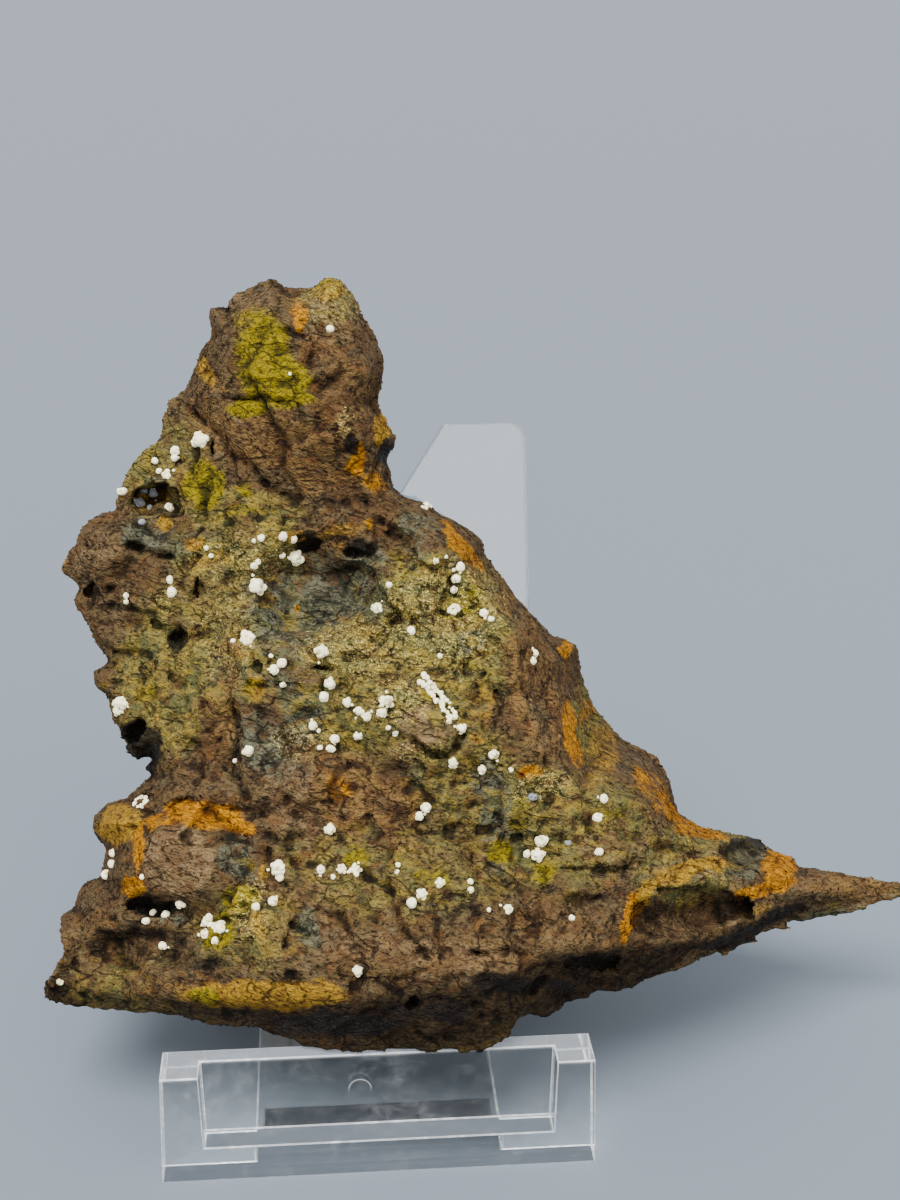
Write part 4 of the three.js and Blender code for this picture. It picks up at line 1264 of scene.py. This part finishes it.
# Stains and growths that lie over the brown crusts
def tintLayers(place, flat, base):
    khaki = place.attribute("khaki")
    tints = {
        "rust": 0.5 * place.noise(1.9, 3, 0.6, 0.8).between(0.52, 0.7),
        "ash": 0.4 * flat.noise(1.3, 3, 0.6, 0.8).between(0.54, 0.7),
        "umber": 0.6 * place.noise(4.3, 3, 0.65, 0.5).between(0.5, 0.62),
        "moss": 0.7 * khaki * place.noise(2.9, 3, 0.65, 0.5).between(0.48, 0.6),
        "straw": 0.6 * khaki * flat.noise(1.5, 3, 0.65, 0.8).between(0.52, 0.62),
    }
    for name, share in tints.items():
        base = base.tinted(stoneColours[name], share)
    return base


# Everything that darkens the crusts: painted shade in cracks, pits, hollows, under the stone and deep in
# its holes, and soot, a dark crust that is partly painted shadow
def shadeLayers(place, base, lines, fineLines, fine, soot):
    layers = [
        ("creviceShade", stoneLook["lines"] * lines),
        ("creviceShade", stoneLook["fineLines"] * fineLines),
        # painted shade in the pits of the bump
        ("pitShade", 1 - fine.between(0.28, 0.44)),
        # painted shade in the hollows between proud points
        ("creviceShade", stoneLook["hollows"] * (1 - place.attribute("proud").between(0.1, 0.46))),
        # painted shade under the stone
        ("creviceShade", stoneLook["under"] * place.attribute("under")),
        # painted shade deep in the holes
        ("hollowShade", stoneLook["deep"] * place.attribute("deep")),
    ]
    for name, share in layers:
        base = base.darkened(stoneColours[name], share)
    return base.tinted(stoneColours["soot"], stoneLook["soot"] * soot)


def stoneFinish():
    material, place = newFinish("CrustedStone")
    turn = (0, math.radians(stoneLook["grainTurn"]), 0)
    sockets = {"Vector": place, "Rotation": turn, "Scale": stoneLook["grainStretch"]}
    flat = place.node("ShaderNodeMapping", {"vector_type": "TEXTURE"}, sockets)
    broad = place.noise(3.2, 3, 0.6)
    medium = flat.noise(0.9, 3, 0.6, 0.4)
    fine = flat.noise(0.3, 3, 0.62, 0.6)
    # Proud points take the light tone as painted light, and recesses the dark tone as painted shade
    mixed = 0.45 * medium + 0.55 * fine + 0.25 * place.attribute("proud") + 0.12 * place.attribute("tone")
    mixed = mixed.between(*stoneLook["tone"])
    base = twoTone(place, "brown", mixed)
    base = crusts(base, ("khaki", "tan", "redBrown", "slate"), mixed, broad, medium, fine)
    base = tintLayers(place, flat, base)
    base = crusts(base, ("ochre", "green", "orange"), mixed, broad, medium, fine)
    threads = 1 - abs(place.noise(0.75, 2, 0.5, 1.8) - 0.5).between(0.01, 0.035)
    flecks = place.attribute("cream") * threads * fine.between(0.4, 0.55) + place.attribute("pale")
    base = base.tinted(stoneColours["cream"], stoneLook["flecks"] * flecks)
    lines = crackLines(flat, *stoneLook["lineSize"], broad.between(0.47, 0.58))
    fineLines = crackLines(flat, *stoneLook["fineLineSize"], medium.between(0.46, 0.6))
    # Soot: a dark, shinier crust in patches, and painted shadow where its spots lie over holes and ledges
    soot = (place.attribute("soot") + 0.8 * (broad - 0.5) + 0.4 * (fine - 0.5)).between(0.35, 0.7)
    base = shadeLayers(place, base, lines, fineLines, fine, soot)
    scale = 1 / (stoneLook["crumbSize"] * mm)
    crumbs = flat.node("ShaderNodeTexVoronoi", {}, {"Vector": flat, "Scale": scale})
    relief = 1.3 * fine + 1.5 * medium - 0.5 * crumbs - 0.9 * lines - 0.5 * fineLines
    shader = place.principled({
        "Base Color": base, "Roughness": stoneLook["roughness"] - stoneLook["sootShine"] * soot,
        "Normal": relief.bump(stoneLook["bump"]), "Specular IOR Level": 0.1,
    })
    return endFinish(material, shader)


ballColours = {
    "white": colour(255, 247, 204),
    "cream": colour(178, 150, 66),
    "grey": colour(120, 122, 124),
    "darkGrey": colour(70, 72, 74),
}


# A second colour laid between the lobes as painted shade, and here and there in patches as a stain
def ballFinish(name, bright, darkTone, share):
    material, place = newFinish(name)
    stainAndShade = 1 - (place.attribute("rise") + 0.7 * place.noise(0.35, 3) - 0.35).between(0, 0.55)
    stainAndShade = share * stainAndShade + 0.35 * share * place.noise(1.3, 3).between(0.5, 0.65)
    base = place.blend(stainAndShade, ballColours[bright], ballColours[darkTone])
    normal = place.noise(0.2, 3, 0.6).bump(0.16)
    return endFinish(material, place.principled({"Base Color": base, "Roughness": 0.6, "Normal": normal}))


# Places on the stand in millimetres, and shares from 0 to 1
plasticLook = {
    "clear": colour(243, 245, 244),
    # The next colour is a painted shadow on the tongue, behind the wall
    "darkTone": colour(44, 44, 46),
    "lowDust": colour(236, 239, 240),
    "highDust": colour(128, 132, 134),
    "dustChanges": (14, 18),     # heights between which the dust turns from the low to the high colour
    "faces": (0.0, 0.07),        # least and most dust on the faces
    "edges": (0.3, 0.9),
    "shadowStrip": ((-12.6, 12.6), (-18.9, -14.6), (2, 3.2)),      # painted shadow on the tongue, behind the wall
    "ring": (-2.0, 8.6, 1.2, 0.12),      # mould mark on the wall: across, up, radius, width
    "ringShare": 0.35,
    "wallBack": (-19.5, -18.5),
    "barTop": (12.7, 13.3),
    "barBack": (-17, -16),
    "barTopShare": 0.18,
}


# From 0 to 1 inside a range, with a soft edge
def within(value, low, high, soft=0.15):
    return value.between(low - soft, low + soft) * (1 - value.between(high - soft, high + soft))


def clearShader(place, across, back, up):
    scuffs = place.noise(2.5, 5, 0.7).between(0.45, 0.8)
    # A dark strip of painted shadow on the tongue, behind the wall
    wide, deep, high = plasticLook["shadowStrip"]
    shadowStrip = within(across, *wide) * within(back, *deep) * within(up, *high)
    return place.principled({
        "Base Color": place.blend(shadowStrip, plasticLook["clear"], plasticLook["darkTone"]),
        "Roughness": 0.03 + 0.12 * scuffs, "IOR": 1.55, "Transmission Weight": 1.0,
    })


def dustShader(place, up):
    changed = up.between(*plasticLook["dustChanges"])
    return place.principled({
        "Base Color": place.blend(changed, plasticLook["lowDust"], plasticLook["highDust"]),
        "Roughness": 0.5, "IOR": 1.45, "Transmission Weight": 0.3,
    })


# The upper half of a ring that the mould left on the wall
def mouldMark(across, back, up):
    x, z, radius, width = plasticLook["ring"]
    away = ((across - x) * (across - x) + (up - z) * (up - z)).power(0.5)
    ring = within(away, radius - width / 2, radius + width / 2, width / 2)
    return ring * up.between(z - 0.6, z + 0.6) * (1 - back.between(*plasticLook["wallBack"]))


# Clear plastic under some dust, which lies on its edges and along the bar's top
def plasticFinish(name, least, most):
    material, place = newFinish(name)
    parts = place.node("ShaderNodeSeparateXYZ", {}, {0: place}).output.node.outputs
    across, back, up = [Socket(material.node_tree, part) * (1 / mm) for part in parts]
    barTop = within(up, *plasticLook["barTop"]) * (1 - back.between(*plasticLook["barBack"]))
    smears = place.noise(1.4, 4, 0.7).between(0.4, 0.75) * place.noise(6, 3, 0.6).between(0.35, 0.65)
    share = least + (most - least) * smears + plasticLook["ringShare"] * mouldMark(across, back, up)
    share = share + plasticLook["barTopShare"] * barTop
    layers = {0: share, 1: clearShader(place, across, back, up), 2: dustShader(place, up)}
    return endFinish(material, place.node("ShaderNodeMixShader", {}, layers))


def floorFinish():
    material, place = newFinish("PlainFloor")
    look = {"Base Color": studio["floor"], "Roughness": 0.85, "Specular IOR Level": 0.1}
    return endFinish(material, place.principled(look))


# Turns what the modifiers make into a plain mesh
def freeze(piece):
    graph = bpy.context.evaluated_depsgraph_get()
    mesh = bpy.data.meshes.new_from_object(
        piece.evaluated_get(graph), preserve_all_data_layers=True, depsgraph=graph,
    )
    piece.modifiers.clear()
    piece.data = mesh


# Loose grains and straw-like slivers, scattered over the stone

# Their sizes are half-lengths in millimetres
grains = {
    "stone_flakes": {
        "Where": "crumbly", "Per Square Metre": 0.8e6, "Smallest": (0.14, 0.1, 0.03),
        "Largest": (0.5, 0.32, 0.07), "Tilt": 0.6, "Paleness": 0.0, "Seed": 3,
    },
    "stone_crumbs": {
        "Where": "crumbly", "Per Square Metre": 0.85e6, "Smallest": (0.06, 0.06, 0.05),
        "Largest": (0.19, 0.19, 0.14), "Tilt": 3.0, "Paleness": 0.0, "Seed": 11,
    },
    "stone_slivers": {
        "Where": "cream", "Per Square Metre": 1.6e6, "Smallest": (0.14, 0.035, 0.03),
        "Largest": (0.36, 0.07, 0.06), "Tilt": 0.7, "Paleness": 0.8, "Seed": 5,
    },
}
grainSockets = {
    "Surface": "NodeSocketGeometry", "Where": "NodeSocketString", "Per Square Metre": "NodeSocketFloat",
    "Smallest": "NodeSocketVector", "Largest": "NodeSocketVector", "Tilt": "NodeSocketFloat",
    "Paleness": "NodeSocketFloat", "Seed": "NodeSocketInt", "Finish": "NodeSocketMaterial",
}


# Grains lie along the surface, turned and tilted at random
def grainTurn(given, points):
    start = given["Surface"]
    chance = start.node("FunctionNodeRandomValue", {"data_type": "FLOAT_VECTOR"}, {
        "Min": (-1, -1, -4), "Max": (1, 1, 4), "Seed": given["Seed"] + 1,
    })
    sockets = {"Vector": chance, "Scale": given["Tilt"]}
    angles = start.node("ShaderNodeVectorMath", {"operation": "SCALE"}, sockets)
    turn = start.node("FunctionNodeEulerToRotation", {}, {"Euler": angles})
    onSurface = Socket(start.tree, points.output.node.outputs["Rotation"])
    sockets = {"Rotation": onSurface, "Rotate By": turn}
    return start.node("FunctionNodeRotateRotation", {"rotation_space": "LOCAL"}, sockets)


# Each grain's paleness and tone, which its finish reads
def grainTones(given, points):
    start = given["Surface"]
    chance = start.node("FunctionNodeRandomValue", {"data_type": "FLOAT"}, {"Seed": given["Seed"] + 2}, 1)
    for name, value in (("pale", given["Paleness"] * chance), ("tone", chance - 0.5)):
        sockets = {"Geometry": points, "Name": name, "Value": value}
        settings = {"data_type": "FLOAT", "domain": "POINT"}
        points = start.node("GeometryNodeStoreNamedAttribute", settings, sockets)
    return points


def makeGrainTree():
    tree = bpy.data.node_groups.new("Scattered grains", "GeometryNodeTree")
    for name, kind in grainSockets.items():
        tree.interface.new_socket(name=name, in_out="INPUT", socket_type=kind)
    tree.interface.new_socket(name="Grains", in_out="OUTPUT", socket_type="NodeSocketGeometry")
    entry = tree.nodes.new("NodeGroupInput")
    given = {name: Socket(tree, entry.outputs[name]) for name in grainSockets}
    start = given["Surface"]
    cover = start.node("GeometryNodeInputNamedAttribute", {"data_type": "FLOAT"}, {"Name": given["Where"]})
    points = start.node("GeometryNodeDistributePointsOnFaces", {}, {
        "Mesh": start, "Density": cover * given["Per Square Metre"], "Seed": given["Seed"],
    })
    size = start.node("FunctionNodeRandomValue", {"data_type": "FLOAT_VECTOR"}, {
        "Min": given["Smallest"], "Max": given["Largest"], "Seed": given["Seed"],
    })
    grain = start.node("GeometryNodeMeshIcoSphere", {}, {"Radius": mm, "Subdivisions": 1})
    placed = start.node("GeometryNodeInstanceOnPoints", {}, {
        "Points": grainTones(given, points), "Instance": grain, "Rotation": grainTurn(given, points),
        "Scale": size,
    })
    real = start.node("GeometryNodeRealizeInstances", {}, {"Geometry": placed})
    done = start.node("GeometryNodeSetMaterial", {}, {"Geometry": real, "Material": given["Finish"]})
    end = tree.nodes.new("NodeGroupOutput")
    tree.links.new(done.output, end.inputs["Grains"])
    return tree


def scatterGrains(name, tree, stone, finish):
    piece = bpy.data.objects.new(name, stone.data.copy())
    bpy.context.scene.collection.objects.link(piece)
    modifier = piece.modifiers.new("Grains", "NODES")
    modifier.node_group = tree
    values = dict(grains[name], Finish=finish)
    for item in tree.interface.items_tree:
        if item.in_out == "INPUT" and item.name in values:
            modifier[item.identifier] = values[item.name]
    freeze(piece)
    print(name + ":", len(piece.data.polygons), "triangles")
    return piece


# The clear stand is the solid's own form with rounded edges

standForm = {
    "edge": 0.42,            # millimetres
    "edgeSteps": 2,
    "sharperThan": 30,       # degrees: edges that are rounded
}


def makeStand():
    shape = bmesh.new()
    shape.from_mesh(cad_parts["stand"].data)
    bmesh.ops.remove_doubles(shape, verts=shape.verts, dist=0.001 * mm)
    bmesh.ops.dissolve_limit(shape, angle_limit=math.radians(1), verts=shape.verts, edges=shape.edges)
    mesh = bpy.data.meshes.new("stand_clear")
    shape.to_mesh(mesh)
    shape.free()
    piece = bpy.data.objects.new("stand_clear", mesh)
    bpy.context.scene.collection.objects.link(piece)
    mesh.materials.append(plasticFinish("ClearPlastic", *plasticLook["faces"]))
    mesh.materials.append(plasticFinish("ClearPlasticEdges", *plasticLook["edges"]))
    bevel = piece.modifiers.new("Edges", "BEVEL")
    bevel.width = standForm["edge"] * mm
    bevel.segments = standForm["edgeSteps"]
    bevel.limit_method = "ANGLE"
    bevel.angle_limit = math.radians(standForm["sharperThan"])
    bevel.material = 1
    freeze(piece)
    piece.visible_shadow = False
    print("stand:", len(piece.data.polygons), "faces")
    return piece


# Camera, light and floor

studio = {
    "eye": (-5.24, -186.2, 125.0),
    "look": (0.0737, 0.9368, -0.342),
    "lens": 54,
    "floorSize": 12000,
    "suns": {                # where the light comes from, how wide the source is in degrees, strength
        "overhead": ((-0.3, -0.45, 0.85), 35, 6.6),
        "front": ((0.3, -0.9, 0.35), 70, 3.0),
    },
    "floor": colour(104, 112, 121),
    "sky": colour(205, 205, 206),
    "skyStrength": 2.1,
}


def makeCamera():
    data = bpy.data.cameras.new("Camera")
    data.lens = studio["lens"]
    data.clip_start = 5 * mm
    camera = bpy.data.objects.new("Camera", data)
    camera.location = Vector(studio["eye"]) * mm
    camera.rotation_euler = Vector(studio["look"]).to_track_quat("-Z", "Y").to_euler()
    bpy.context.scene.collection.objects.link(camera)
    bpy.context.scene.camera = camera


def makeLamps():
    for name, (towards, width, strength) in studio["suns"].items():
        data = bpy.data.lights.new(name, "SUN")
        data.angle = math.radians(width)
        data.energy = strength
        lamp = bpy.data.objects.new(name, data)
        lamp.rotation_euler = Vector(towards).to_track_quat("Z", "Y").to_euler()
        bpy.context.scene.collection.objects.link(lamp)
    world = bpy.data.worlds.new("Studio")
    world.use_nodes = True
    sky = world.node_tree.nodes["Background"]
    sky.inputs["Color"].default_value = studio["sky"]
    sky.inputs["Strength"].default_value = studio["skyStrength"]
    bpy.context.scene.world = world


def makeFloor():
    half = studio["floorSize"] / 2
    points = np.array([(-half, -half, 0), (half, -half, 0), (half, half, 0), (-half, half, 0)])
    piece = makeMesh("floor", points, np.array([[0, 1, 2, 3]]))
    piece.data.materials.append(floorFinish())


def finishPiece(piece, material=None, smooth=False):
    if material:
        piece.data.materials.append(material)
    if smooth:
        piece.data.shade_smooth()
    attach(piece, "root")


def main():
    crusted = stoneFinish()
    stone, points, faces = makeStone()
    tree = makeGrainTree()
    loose = [scatterGrains(name, tree, stone, crusted) for name in grains]
    white = makeBalls("fluorapatite_balls", whiteBalls + ringSpots() + crustSpots(), points, faces)
    grey = makeBalls("grey_balls", greyBalls, points, faces)
    stand = makeStand()
    finishPiece(stone, crusted, True)
    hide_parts("stone")
    for piece in loose:
        finishPiece(piece)
    finishPiece(white, ballFinish("WhiteApatite", "white", "cream", 0.75), True)
    finishPiece(grey, ballFinish("GreyCoating", "grey", "darkGrey", 1.0), True)
    finishPiece(stand)
    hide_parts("stand")
    makeCamera()
    makeLamps()
    makeFloor()


main()
